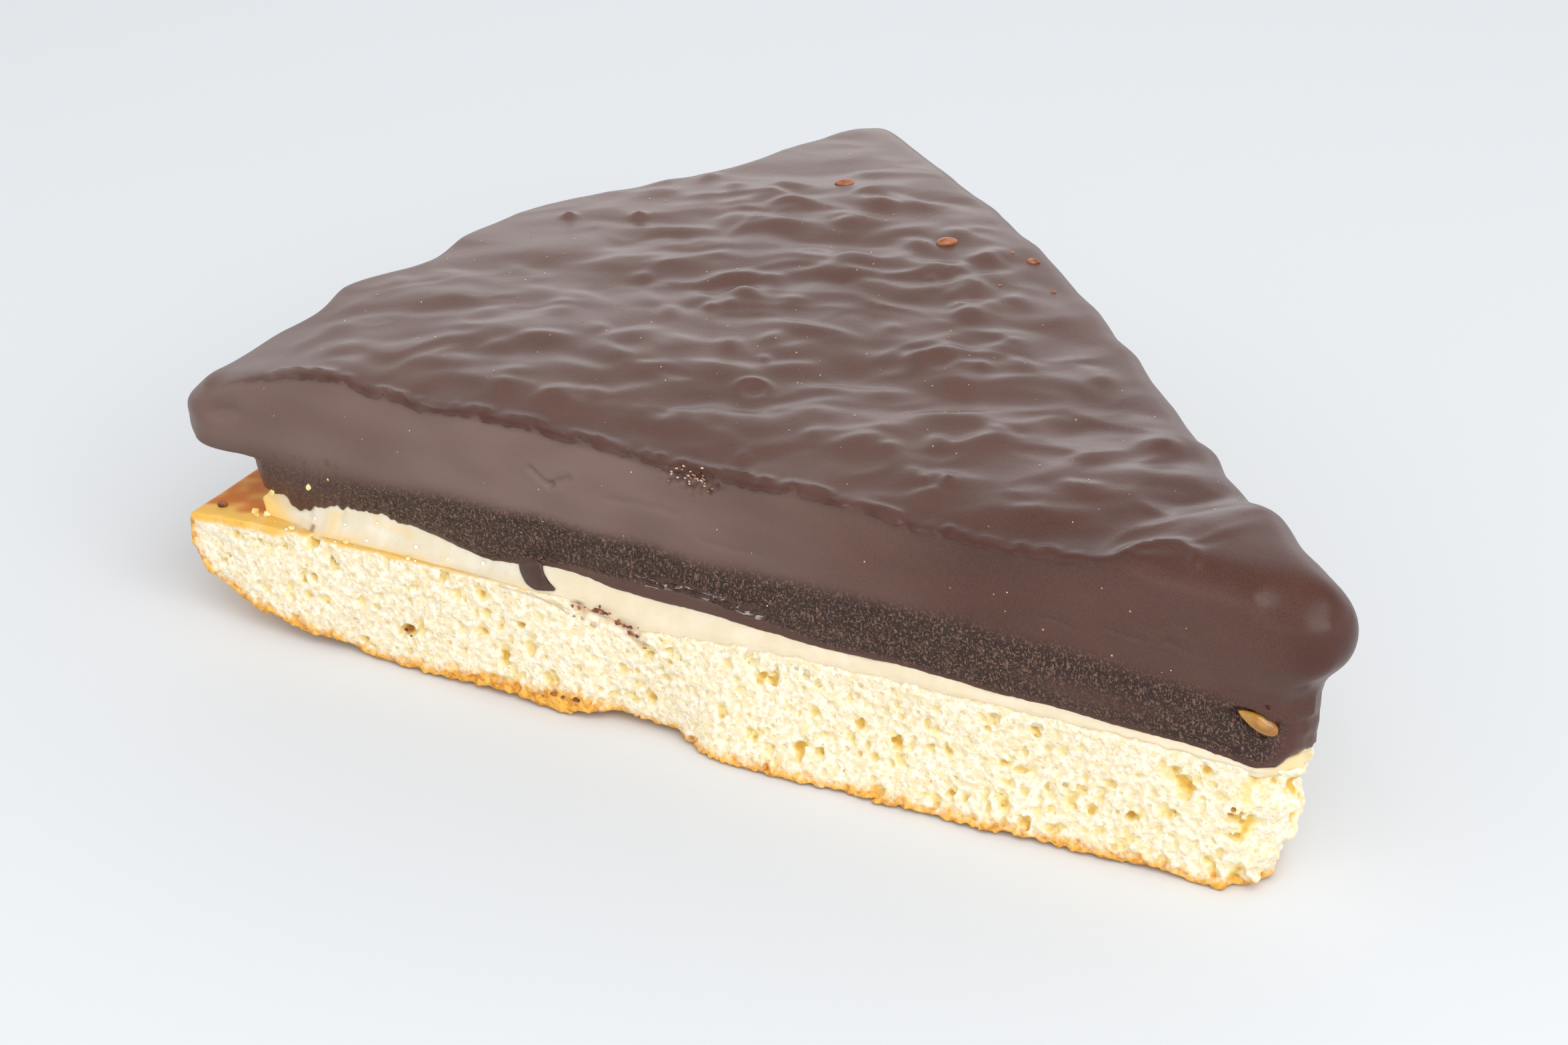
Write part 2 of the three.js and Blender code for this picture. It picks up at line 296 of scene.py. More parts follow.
def relaxed(points: Array, faces: Array, share: Array, rounds: int) -> Array:
    """Smooths a mesh.

    Args:
        points: Its points.
        faces: Its triangles.
        share: How far each point moves to the middle of its neighbours each round, from 0 to 1.
        rounds: How often they move.

    Returns:
        The moved points.
    """
    kept = share[faces].max(1) > 0
    edges = np.concatenate([faces[kept][:, pair] for pair in ([0, 1], [1, 2], [2, 0])])
    ends, others = np.concatenate([edges[:, 0], edges[:, 1]]), np.concatenate([edges[:, 1], edges[:, 0]])
    count = np.maximum(1, np.bincount(ends, minlength=len(points)))
    for _ in range(rounds):
        sums = [np.bincount(ends, points[others, k], len(points)) for k in range(3)]
        points = points + (np.stack(sums, -1) / count[:, None] - points) * share[:, None]
    return points


def lattice_noise(shape: tuple[int, int, int], cell: float, rng: np.random.Generator) -> Array:
    """Smooth noise from -1 to 1 over a block of voxels, with one random corner every cell voxels.

    Args:
        shape: The block's size in voxels.
        cell: Voxels from one corner to the next.
        rng: The source of random numbers.

    Returns:
        The noise, one value for each voxel.
    """
    counts = [int(n / cell) + 3 for n in shape]
    values = rng.uniform(-1, 1, counts).astype(np.float32)
    for axis, n in enumerate(shape):
        place = np.arange(n, dtype=np.float32) / cell
        i = np.floor(place).astype(int)
        t = smoothstep(place - i, 0, 1).astype(np.float32)
        t = t.reshape([-1 if k == axis else 1 for k in range(3)])
        values = np.take(values, i, axis) * (1 - t) + np.take(values, i + 1, axis) * t
    return values


@dataclass
class Skin:
    """The surface of a closed body, gathered as surface coordinates (p, q, h) and triangles."""

    spots: list[Array] = field(default_factory=list)
    faces: list[Array] = field(default_factory=list)
    count: int = 0

    def add(self, p: Array, q: Array, h: Array) -> Array:
        """Adds points, and returns their numbers in the shape of the coordinates.

        Args:
            p: Along, from the rim (0) to the tip (1).
            q: Across, from the near cut (0) to the far (1).
            h: Height on the side, 0 to 1.

        Returns:
            The numbers.
        """
        p, q, h = np.broadcast_arrays(np.asarray(p, float), q, h)
        self.spots.append(np.stack([p.ravel(), q.ravel(), h.ravel()], -1))
        numbers = np.arange(self.count, self.count + p.size).reshape(p.shape)
        self.count += p.size
        return numbers

    def grid(self, numbers: Array, flip: bool = False) -> None:
        """Fills a grid of points with triangles.

        Args:
            numbers: The points' numbers, row by row.
            flip: Whether it faces the other way.
        """
        a, b = numbers[:-1, :-1].ravel(), numbers[1:, :-1].ravel()
        c, d = numbers[1:, 1:].ravel(), numbers[:-1, 1:].ravel()
        triangles = np.concatenate([np.stack([a, b, c], -1), np.stack([a, c, d], -1)])
        self.faces.append(triangles[:, ::-1] if flip else triangles)

    def strip(self, a: Array, b: Array, middle: int, flip: bool) -> None:
        """Joins two rows of points that run alike with a band of triangles.

        Args:
            a: The numbers of the first row's points.
            b: The numbers of the second row's points.
            middle: The number of a point halfway between the two first points.
            flip: Whether the band faces the other way.
        """
        band = []
        i = j = 0
        while i < len(a) - 1 or j < len(b) - 1:
            behind = (i + 1) * (len(b) - 1) <= (j + 1) * (len(a) - 1)
            step_a = j == len(b) - 1 or (i < len(a) - 1 and behind)
            third = a[i + 1] if step_a else b[j + 1]
            if i == 0 and j == 0:
                band += [(a[0], middle, third), (middle, b[0], third)]
            else:
                band.append((a[i], b[j], third))
            if step_a:
                i += 1
            else:
                j += 1
        triangles = np.array(band)
        self.faces.append(triangles[:, ::-1] if flip else triangles)

    def result(self) -> tuple[Array, Array]:
        """All the surface coordinates and all the triangles."""
        return np.concatenate(self.spots), np.concatenate(self.faces)


@dataclass
class Layer(ABC):
    """A layer of the slice, shaped by functions of where a surface point is.

    A surface point has p from the rim (0) to the tip (1), q from the near cut (0) to the far one
    (1), and h from the underside (0) to the top (1).
    """

    @abstractmethod
    def underside(self, x: Array, y: Array) -> Array:
        """The height of the underside at a place."""

    @abstractmethod
    def top(self, x: Array, y: Array) -> Array:
        """The height of the top at a place."""

    def hem(self, x: Array, y: Array) -> Array:
        """How far the lower edge of the near side is off the underside."""
        return np.zeros_like(x)

    @abstractmethod
    def rim(self, angle: Array, h: Array) -> Array:
        """The radius of the rim at an angle from the middle of the slice."""

    @abstractmethod
    def tip(self, q: Array, h: Array) -> Array:
        """How far from the meeting point the tip ends."""

    @abstractmethod
    def front(self, reach: Array, h: Array) -> Array:
        """How far the near side stands out of its cut."""

    @abstractmethod
    def back(self, reach: Array, h: Array) -> Array:
        """How far the far side stands out of its cut."""

    def place(self, p: Array, q: Array, h: Array) -> Array:
        """The points at surface coordinates.

        Args:
            p: Along, from the rim (0) to the tip (1).
            q: Across, from the near cut (0) to the far (1).
            h: Height on the side, 0 to 1.

        Returns:
            The points.
        """
        angle = lerp(-HALF_ANGLE, HALF_ANGLE, q)
        reach = lerp(self.rim(angle, h), self.tip(q, h), p)
        front = self.front(reach, h) * np.maximum(0, 1 - 2 * q)
        back = self.back(reach, h) * np.maximum(0, 2 * q - 1)
        x = -reach * np.cos(angle) + (front + back) * SIN
        y = reach * np.sin(angle) + (back - front) * COS
        z = lerp(self.underside(x, y), self.top(x, y), h) + self.hem(x, y) * (1 - h) ** 3
        return np.stack([x, y, z], -1)

    def on_near(self, along: Array, height: Array, out: Array = 0.0) -> Array:
        """The points on the near side at distances along its cut and heights, raised by out.

        Args:
            along: The distances.
            height: The heights.
            out: How far they are raised.

        Returns:
            The points.
        """
        x, y, _ = np.moveaxis(on_cut(Side.NEAR, along, height), -1, 0)
        low, high = self.underside(x, y), self.top(x, y)
        h = np.clip((height - low) / (high - low), 0, 1)
        return on_cut(Side.NEAR, along, height, self.front(along, h) + out)

    def skin(self, rows: int, levels: Array, cell: float, hidden_cell: float) -> tuple[Array, Array]:
        """Covers the layer with triangles, twice as fine on the near cut as elsewhere.

        Args:
            rows: How many cells long the layer is.
            levels: The heights h of the rows of points round the sides, from 0 to 1.
            cell: The width of a cell on the top, in mm.
            hidden_cell: The width of a cell on the underside, in mm.

        Returns:
            The surface coordinates of the points, and the triangles.
        """
        skin = Skin()
        fine_p = np.linspace(0, 1, 2 * rows + 1)
        between = (levels[:-1] + levels[1:]) / 2
        fine_h = np.sort(np.concatenate([levels, between]))
        last = len(levels) - 1
        near = skin.add(fine_p[:, None], 0.0, fine_h[None, :])
        far = skin.add(fine_p[::2, None], 1.0, levels[None, :])
        skin.grid(near)
        skin.grid(far, flip=True)

        def row(j: int, k: int, size: float) -> Array:
            """A row of points from the near cut to the far one.

            Args:
                j: The number of the row along the layer.
                k: The number of its level.
                size: The width of a cell.

            Returns:
                The points' numbers.
            """
            p = fine_p[2 * j]
            width = 2 * HALF_ANGLE * lerp(self.rim(0.0, 0.5), self.tip(0.5, 0.5), p)
            count = max(3, round(width / size))
            inner = skin.add(p, np.arange(1, count) / count, levels[k])
            return np.concatenate([[near[2 * j, 2 * k]], inner, [far[j, k]]])

        sheets = {}
        for k, size in ((0, hidden_cell), (last, cell)):
            sheet = [row(j, k, cell if j in (0, rows) else size) for j in range(rows + 1)]
            for j in range(rows):
                skin.strip(sheet[j], sheet[j + 1], near[2 * j + 1, 2 * k], flip=k == 0)
            sheets[k] = sheet
        for j in (0, rows):
            ends = [sheets[0][j], *(row(j, k, cell) for k in range(1, last)), sheets[last][j]]
            for k in range(last):
                skin.strip(ends[k], ends[k + 1], near[2 * j, 2 * k + 1], flip=j == rows)
        return skin.result()


# Finishes


class Shader:
    """A material's node tree, written in a few words."""

    def __init__(self, name: str) -> None:
        """Starts an empty material with one principled surface."""
        self.material = bpy.data.materials.new(name)
        self.material.use_nodes = True
        self.tree = self.material.node_tree
        self.tree.nodes.clear()
        self.surface = self.tree.nodes.new("ShaderNodeBsdfPrincipled")
        output = self.tree.nodes.new("ShaderNodeOutputMaterial")
        self.tree.links.new(self.surface.outputs[0], output.inputs["Surface"])
        self.coordinates = self.tree.nodes.new("ShaderNodeTexCoord").outputs["Object"]

    def set(self, socket: object, value: object) -> None:
        """Links a value that is a node's output, or stores it."""
        if isinstance(value, bpy.types.NodeSocket):
            self.tree.links.new(value, socket)
        elif value is not None:
            socket.default_value = value

    def fill(self, node: bpy.types.Node, values: dict[str, object]) -> None:
        """Sets a node's inputs, each given by its name in small letters with underscores."""
        for name, value in values.items():
            self.set(next(s for s in node.inputs if s.name.lower() == name.replace("_", " ")), value)

    def node(self, kind: str, **values: object) -> bpy.types.Node:
        """Adds a node of a kind and sets its inputs.

        Args:
            kind: The end of its type's name.
            values: A value or a link for each input.

        Returns:
            The node.
        """
        node = self.tree.nodes.new("ShaderNode" + kind)
        self.fill(node, values)
        return node

    def finish(self, **values: object) -> bpy.types.Material:
        """Sets the principled surface's sockets, named with underscores, and returns the material."""
        self.fill(self.surface, values)
        return self.material

    def grain(self, scale: float, detail: float = 2.0, rough: float = 0.5, stretch: Optional[Vector] = None,
              turn: float = 0.0, warp: float = 0.0) -> bpy.types.NodeSocket:
        """Noise from 0 to 1.

        Args:
            scale: Bumps per metre.
            detail: How many finer octaves it has.
            rough: How strong the finer octaves are.
            stretch: How far the bumps are squeezed along each axis.
            turn: How far they are turned about Z first.
            warp: How much they are distorted.

        Returns:
            The noise's output.
        """
        node = self.node("TexNoise", vector=self.turned(stretch, turn), scale=scale, detail=detail,
                         roughness=rough, distortion=warp)
        return node.outputs["Fac"]

    def turned(self, stretch: Optional[Vector], turn: float) -> bpy.types.NodeSocket:
        """The piece's own coordinates, turned about Z and squeezed.

        Args:
            stretch: How far they are squeezed along each axis.
            turn: The angle.

        Returns:
            The coordinates.
        """
        if stretch is None and not turn:
            return self.coordinates
        spin = self.node("Mapping", vector=self.coordinates, rotation=(0, 0, turn))
        return self.node("Mapping", vector=spin.outputs[0], scale=stretch or Vector((1, 1, 1))).outputs[0]

    def cells(self, scale: float) -> bpy.types.NodeSocket:
        """The distance to the nearest of scattered points, from 0 to about 1."""
        return self.node("TexVoronoi", vector=self.coordinates, scale=scale).outputs["Distance"]

    def tone(self, index: int) -> bpy.types.NodeSocket:
        """One of the four finish weights of the mesh.

        Args:
            index: Which one, from 0 to 3.

        Returns:
            The weight.
        """
        node = self.node("Attribute")
        node.attribute_name = "tones"
        if index == 3:
            return node.outputs["Alpha"]
        return self.node("SeparateColor", color=node.outputs["Color"]).outputs[index]

    def ramp(self, value: object, low: float, high: float, start: float = 0.0,
             end: float = 1.0) -> bpy.types.NodeSocket:
        """A smooth step of value from start at low to end at high.

        Args:
            value: The value.
            low: Where the step starts.
            high: Where it ends.
            start: What it starts from.
            end: What it comes to.

        Returns:
            The step.
        """
        node = self.node("MapRange", value=value, from_min=low, from_max=high, to_min=start, to_max=end)
        node.interpolation_type = "SMOOTHSTEP"
        return node.outputs["Result"]

    def math(self, operation: str, a: object, b: object) -> bpy.types.NodeSocket:
        """A sum, product or other operation on two numbers.

        Args:
            operation: The node's name for it.
            a: The first number.
            b: The second number.

        Returns:
            The result.
        """
        node = self.node("Math")
        node.operation = operation
        self.set(node.inputs[0], a)
        self.set(node.inputs[1], b)
        return node.outputs[0]

    def mix(self, share: object, a: object, b: object) -> bpy.types.NodeSocket:
        """A colour the share of the way from a to b.

        Args:
            share: The share.
            a: The first colour.
            b: The second colour.

        Returns:
            The colour.
        """
        node = self.node("Mix", factor=share)
        node.data_type = "RGBA"
        for socket, value in zip((s for s in node.inputs if s.type == "RGBA"), (a, b)):
            self.set(socket, value)
        return next(s for s in node.outputs if s.type == "RGBA")

    def bump(self, height: object, depth: float, strength: object = 1.0,
             under: object = None) -> bpy.types.NodeSocket:
        """A normal bumped by a height of depth metres, on top of another normal.

        Args:
            height: The height, from 0 to 1.
            depth: What a height of 1 is in metres.
            strength: How much of it shows.
            under: The normal under it.

        Returns:
            The normal.
        """
        return self.node("Bump", distance=depth, strength=strength, height=height, normal=under).outputs[0]


@dataclass(frozen=True)
class CrumbFinish:
    """Pale airy crumb with a golden baked crust.

    The mesh's tones are toast, pore depth (for the pores' painted glow and shade), stain and glaze.
    """

    pale: int = 0xE8D7B2
    white: int = 0xF3E9D6
    # The pore colours paint light in the pores: a yellow glow, darker deep down; the lighter one also tints
    # the crumb at random.
    pore: int = 0xEDD89C
    painted_deep_pore_shade: int = 0xDCB04C
    gold: int = 0xEEB556
    brown: int = 0xC07A34
    stain: int = 0x9A5620
    glaze: int = 0xCC6C04
    amber: int = 0xE8B656

    def material(self) -> bpy.types.Material:
        """Builds the finish.

        Returns:
            The material.
        """
        s = Shader("crumb")
        crumb = s.mix(s.ramp(s.grain(1300, 3, 0.65), 0.42, 0.58), colour(self.pale), colour(self.white))
        crumb = s.mix(s.ramp(s.grain(700, 3, 0.6), 0.5, 0.7, 0.0, 0.3), crumb, colour(self.pore))
        # Fine pits get the pore colour: painted shade and yellow glow in small holes.
        pits = s.math("MINIMUM", s.cells(850), s.cells(1500))
        crumb = s.mix(s.ramp(pits, 0.06, 0.28, 0.4, 0.0), crumb, colour(self.pore))
        # Painted light in the pores: the yellow glow, then the darker painted shade, grow with depth below
        # the cut.
        crumb = s.mix(s.ramp(s.tone(1), 0.0, 0.4), crumb, colour(self.pore))
        crumb = s.mix(s.ramp(s.tone(1), 0.4, 1.0, 0.0, 0.9), crumb, colour(self.painted_deep_pore_shade))
        baked = s.mix(s.ramp(s.grain(900, 4, 0.65), 0.42, 0.7), colour(self.gold), colour(self.brown))
        crumb = s.mix(s.tone(0), crumb, baked)
        crumb = s.mix(s.ramp(s.tone(3), 0.0, 0.5), crumb, colour(self.amber))
        crumb = s.mix(s.ramp(s.tone(3), 0.5, 1.0), crumb, colour(self.glaze))
        crumb = s.mix(s.tone(2), crumb, colour(self.stain))
        soft = s.ramp(s.tone(3), 0.1, 0.5, 0.7, 0.05)
        normal = s.bump(s.grain(1700, 3, 0.6), 0.00012, soft)
        normal = s.bump(s.ramp(pits, 0.05, 0.4), 0.00018, soft, normal)
        shine = s.ramp(s.tone(3), 0.1, 0.6, 0.85, 0.42)
        baked_share = s.math("MAXIMUM", s.tone(0), s.tone(3))
        return s.finish(base_color=crumb, roughness=shine, normal=normal, specular_ior_level=0.08,
                        subsurface_weight=s.ramp(baked_share, 0.2, 1.0, 0.6, 0.0),
                        subsurface_radius=(1.0, 0.9, 0.7), subsurface_scale=0.0006)


@dataclass(frozen=True)
class CreamFinish:
    """Smooth pale cream, a little translucent, tinted peach low down.

    The mesh's first three tones are peach, stain and gold.
    """

    pale: int = 0xDDD2B8
    light: int = 0xE6DCC8
    peach: int = 0xE6CCA2
    stain: int = 0x5A2C14
    gold: int = 0xECC674

    def material(self) -> bpy.types.Material:
        """Builds the finish.

        Returns:
            The material.
        """
        s = Shader("cream")
        cream = s.mix(s.ramp(s.grain(330, 3), 0.35, 0.7), colour(self.pale), colour(self.light))
        cream = s.mix(s.tone(0), cream, colour(self.peach))
        cream = s.mix(s.tone(2), cream, colour(self.gold))
        cream = s.mix(s.tone(1), cream, colour(self.stain))
        normal = s.bump(s.grain(1100, 4, 0.6, Vector((0.5, 0.5, 1.5)), HALF_ANGLE), 0.00012, 0.7)
        return s.finish(base_color=cream, roughness=0.42, normal=normal, specular_ior_level=0.3,
                        subsurface_weight=0.35, subsurface_radius=(1.0, 0.8, 0.5), subsurface_scale=0.0008)


@dataclass(frozen=True)
class ChocolateFinish:
    """Satin dark chocolate, bloomed on the cut and grainy low on it, with painted glints in the grain, a
    painted highlight on the wet smear, painted shade along the lip and a painted sheen on the top.

    The mesh's tones are bloom (on the top a coat tone and a painted sheen), grain, lip (mostly painted shade)
    and wet.
    """

    dark: int = 0x44261D
    milk: int = 0x4D2D24
    # The bloom colour is the cut's bloom; on the top it also gives the coat tone and a painted sheen.
    bloom: int = 0x725B53
    grainy: int = 0x2A140C
    # The grain's glints are painted highlights; the same colour also makes fine pale specks over the coat.
    speck_and_painted_glint: int = 0x96705E
    # The lip colour paints shade along the rolled near top edge and at the nose's end.
    lip: int = 0x432016
    wet: int = 0x4A2F26
    # A painted highlight for the crests of the wet smear's ropes.
    painted_rope_highlight: int = 0xC6B8B2

    def material(self) -> bpy.types.Material:
        """Builds the finish.

        Returns:
            The material.
        """
        s = Shader("chocolate")
        coat = s.mix(s.ramp(s.grain(70, 3), 0.3, 0.7), colour(self.dark), colour(self.milk))
        face = s.mix(s.tone(0), coat, colour(self.bloom))
        face = s.mix(s.ramp(s.grain(6500, 1), 0.35, 0.7, 0.0, 0.09), face, colour(self.speck_and_painted_glint))
        one = s.grain(4000, 1, 0.5, Vector((1.0, 1.0, 0.45)), 0.4, warp=0.8)
        other = s.grain(4000, 1, 0.5, Vector((0.45, 1.0, 1.0)), 0.4, warp=0.8)
        strokes = s.math("MAXIMUM", one, other)
        # Painted highlights: light strokes mixed into the dark grain colour as glints.
        painted_glints = s.ramp(strokes, 0.57, 0.68, 0.0, 0.58)
        grainy = s.mix(painted_glints, colour(self.grainy), colour(self.speck_and_painted_glint))
        face = s.mix(s.tone(1), face, grainy)
        # The lip colour paints shade along the rolled near top edge and at the nose's end; it also darkens
        # the porous patch in spots.
        face = s.mix(s.tone(2), face, colour(self.lip))
        ropes = s.grain(900, 2, 0.5, Vector((0.3, 1.0, 1.5)), HALF_ANGLE, warp=0.8)
        # The crests of the ropes on the wet smear get a painted highlight colour.
        wet = s.mix(s.ramp(ropes, 0.55, 0.64, 0.0, 0.8), colour(self.wet), colour(self.painted_rope_highlight))
        face = s.mix(s.ramp(s.tone(3), 0.2, 0.8), face, wet)
        pits = s.bump(strokes, 0.00022, s.tone(1))
        pits = s.bump(ropes, 0.0012, s.tone(3), pits)
        fine = s.bump(s.grain(1500, 4, 0.6), 0.00004, 0.5, pits)
        rough = s.ramp(s.tone(0), 0.0, 1.0, 0.34, 0.42)
        rough = s.math("ADD", rough, s.ramp(s.tone(1), 0.0, 1.0, 0.0, 0.06))
        rough = s.math("SUBTRACT", rough, s.ramp(s.tone(3), 0.0, 1.0, 0.0, 0.24))
        return s.finish(base_color=face, roughness=rough, normal=fine, specular_ior_level=0.36)


@dataclass(frozen=True)
class GrainFinish:
    """Hard little bits: nuts, sugar or specks, in two shades."""

    name: str
    one: int
    two: int
    roughness: float = 0.4
    glow: float = 0.2

    def material(self) -> bpy.types.Material:
        """Builds the finish.

        Returns:
            The material.
        """
        s = Shader(self.name)
        shade = s.mix(s.ramp(s.grain(900, 2), 0.35, 0.65), colour(self.one), colour(self.two))
        normal = s.bump(s.grain(2500, 2), 0.00006, 0.5)
        return s.finish(base_color=shade, roughness=self.roughness, normal=normal,
                        subsurface_weight=self.glow, subsurface_scale=0.0008)


@dataclass(frozen=True)
class FruitFinish:
    """Clear amber candied fruit."""

    amber: int = 0x96620E
    light: int = 0xB4842A

    def material(self) -> bpy.types.Material:
        """Builds the finish.

        Returns:
            The material.
        """
        s = Shader("candied_fruit")
        shade = s.mix(s.ramp(s.grain(500, 2), 0.4, 0.7), colour(self.amber), colour(self.light))
        normal = s.bump(s.grain(700, 2), 0.00005, 0.5)
        return s.finish(base_color=shade, roughness=0.12, normal=normal, subsurface_weight=0.6,
                        subsurface_scale=0.0015, coat_weight=0.6)


@dataclass(frozen=True)
class PaperFinish:
    """The plain pale floor."""

    shade: int = 0xDBDDDF

    def material(self) -> bpy.types.Material:
        """Builds the finish."""
        s = Shader("pale_floor")
        return s.finish(base_color=colour(self.shade), roughness=0.7, specular_ior_level=0.2)


# The layers


@dataclass
class SpongeBase(Layer):
    """The airy sponge with its baked crust, filled as blocks of voxels."""

    height: float = 15.1
    rim_radius: float = 148.5
    curl_length: float = 20.0
    curl_height: float = 9.2
    curl_end: float = 0.995  # of a quarter circle
    rim_slope: float = 1.3
    lip_round: float = 1.2
    tip_cut: float = 8.2
    tip_bow: float = 4.0
    tip_lean: float = 2.6
    tip_break: float = 3.0
    lift: float = 0.26
    fine_step: float = 0.28
    far_step: float = 0.33
    coarse_step: float = 0.6
    shell: float = 3.2  # how deep the two fine blocks reach
    overlap: float = 1.2
    tip_length: float = 15.0  # of the tip that belongs to the near block
    small_pores: int = 1800
    dents: int = 80
    mirror: float = 158.0  # less the distance of a large pore is its distance on the far cut
    near_top: tuple[tuple[float, float], ...] = (
        # the height of the crumb's top edge on the near cut
        (97.0, 14.7), (86.0, 13.4), (81.0, 13.9), (74.0, 14.7), (60.0, 15.3), (30.0, 15.8), (20.0, 16.0),
        (10.0, 15.8),
    )
    large_pores: tuple[tuple[float, float, float, float], ...] = (
        # on the near cut: distance along it, height, width and height of the opening
        (104.4, 5.4, 1.7, 3.6), (100.8, 7.9, 1.7, 3.2), (102.3, 10.3, 1.9, 1.1), (115.9, 6.1, 1.6, 2.7),
        (116.3, 12.0, 1.5, 1.9), (130.0, 5.3, 1.4, 2.1), (132.1, 8.6, 1.6, 1.5), (143.6, 8.3, 1.6, 1.6),
        (107.5, 7.8, 1.9, 1.1), (124.1, 2.3, 2.0, 1.2), (70.6, 11.8, 2.6, 2.0), (65.0, 13.2, 1.2, 1.9),
        (81.3, 6.8, 0.8, 1.6), (59.4, 12.7, 0.9, 1.4), (74.2, 3.4, 0.9, 1.9), (67.9, 2.4, 1.2, 1.8),
        (59.4, 7.1, 1.4, 1.9), (61.9, 2.2, 1.2, 1.9), (64.5, 5.7, 1.1, 1.4), (54.7, 10.7, 1.0, 1.9),
        (79.5, 7.8, 1.1, 0.8), (19.5, 11.9, 2.8, 3.4), (17.2, 14.0, 2.0, 1.6), (40.7, 9.2, 1.6, 2.3),
        (31.4, 13.4, 1.6, 1.7), (29.2, 7.4, 1.6, 1.7), (32.7, 6.4, 1.5, 1.6), (24.2, 7.1, 1.4, 1.6),
        (37.7, 2.3, 2.0, 2.3), (26.1, 2.8, 1.4, 2.1), (15.9, 3.2, 1.3, 1.0), (15.4, 11.8, 1.1, 1.0),
    )

    def curl(self, reach: Array) -> Array:
        """How far along the rim's curl a place is, from 0 to 1."""
        return np.clip((reach - self.rim_radius + self.curl_length) / self.curl_length, 0, 1)

    def underside(self, x: Array, y: Array) -> Array:
        """The height of the underside, which curls up at the rim and is ragged at the cuts.

        Args:
            x: Along X.
            y: Along Y.

        Returns:
            The height.
        """
        reach = np.hypot(x, y)
        curled = self.curl_height * (1 - np.sqrt(1 - (self.curl_end * self.curl(reach)) ** 2))
        curled = curled + self.rim_slope * smoothstep(reach, 122, 131)
        edge = np.maximum(0, 1 - distance_to_cut(x, y) / 7) ** 2
        step = 1.1 * smoothstep(reach, 79, 82.5) + 0.6 * smoothstep(reach, 84, 90)
        arch = step * (1 - smoothstep(reach, 90.3, 91.5))
        arch = arch + 0.9 * smoothstep(reach, 90.3, 91.5) * (1 - smoothstep(reach, 91.5, 96.5))
        arch = arch + 0.3 * bell(reach, 36, 14) + 0.35 * bell(reach, 108, 12)
        ragged = 0.22 + 0.18 * noise(reach / 4.5, 0.5, 3)
        return self.lift * (1 - 0.8 * edge) + curled + edge * (arch + ragged)

    def top(self, x: Array, y: Array) -> Array:
        """The height of the top.

        Args:
            x: Along X.
            y: Along Y.

        Returns:
            The height.
        """
        reach = np.hypot(x, y)
        plain = self.height - 0.35 * smoothstep(reach, 118, 140)
        plain = plain - 0.5 * smoothstep(reach, 140, self.rim_radius)
        line = follow(reach, self.near_top[::-1])
        line = line + 0.22 * waves(reach / 1.5, 0.5, 34) + 0.18 * waves(reach / 0.7, 0.5, 35)
        plain = plain + 0.6 * smoothstep(16 - reach, 0, 6)
        edge = np.exp(-((out_of_cut(x, y, Side.NEAR) / 4.0) ** 2)) * (1 - smoothstep(reach, 92, 98))
        return lerp(plain, line, edge)

    def rim(self, angle: Array, h: Array) -> Array:
        """The radius of the crust."""
        lip = corner_inset((1 - h) * self.height * 0.4, self.lip_round)
        return self.rim_radius - lip + 0.25 * noise(angle * 14, h, 5)

    def tip(self, q: Array, h: Array) -> Array:
        """How far from the meeting point the torn tip ends.

        Args:
            q: Across, from the near cut (0) to the far (1).
            h: Height on the side, 0 to 1.

        Returns:
            The distance.
        """
        side = (2 * q - 1) ** 2
        broken = self.tip_lean * (1 - h) * (1 - 0.75 * side) + 0.7 * noise(q * 5, h * 4, 7)
        far = self.tip_break * (0.5 + 0.9 * (1 - h) ** 3 - 0.9 * smoothstep(h, 0.84, 0.96))
        far = (far + 1.5 * bell(h, 0.76, 0.1) - 1.6 * bell(h, 0.48, 0.18)) * smoothstep(q, 0.45, 1)
        return self.tip_cut + self.tip_bow * side + broken + far + 1.2 * (1 - h) ** 4

    def front(self, reach: Array, h: Array) -> Array:
        """How far the near side stands out of its cut."""
        sag = 1.7 * smoothstep(reach, 20, 50) * (1 - smoothstep(reach, 76, 80)) + 0.8 * bell(reach, 99, 7)
        sag = sag - 1.3 * smoothstep(reach, 79, 83) * (1 - smoothstep(reach, 90, 93))
        return 0.3 * noise(reach / 6, h * 2, 9) + sag * (1 - h) ** 2

    def back(self, reach: Array, h: Array) -> Array:
        """How far the far side stands out of its cut."""
        return 0.3 * noise(reach / 6, h * 2, 11)

    def depths(self, points: Array) -> dict[str, Array]:
        """How far inside each of its surfaces the layer's points are.

        Args:
            points: The points, with x, y and z last.

        Returns:
            The depth below the underside, top, near cut, far cut, rim and tip.
        """
        x, y, z = points[..., 0], points[..., 1], points[..., 2]
        reach, angle = np.hypot(x, y), np.arctan2(y, -x)
        low, high = self.underside(x, y), self.top(x, y)
        h = np.clip((z - low) / (high - low), 0, 1)
        curl = self.curl(reach)
        steep = self.curl_height / self.curl_length * curl / np.sqrt(1 - (self.curl_end * curl) ** 2)
        q = np.clip((angle / HALF_ANGLE + 1) / 2, 0, 1)
        return {
            "under": (z - low) / np.sqrt(1 + np.minimum(steep * steep, 9)),
            "top": high - z,
            "near": self.front(reach, h) - out_of_cut(x, y, Side.NEAR),
            "far": self.back(reach, h) - out_of_cut(x, y, Side.FAR),
            "rim": self.rim(angle, h) - reach,
            "tip": reach - self.tip(q, h),
        }

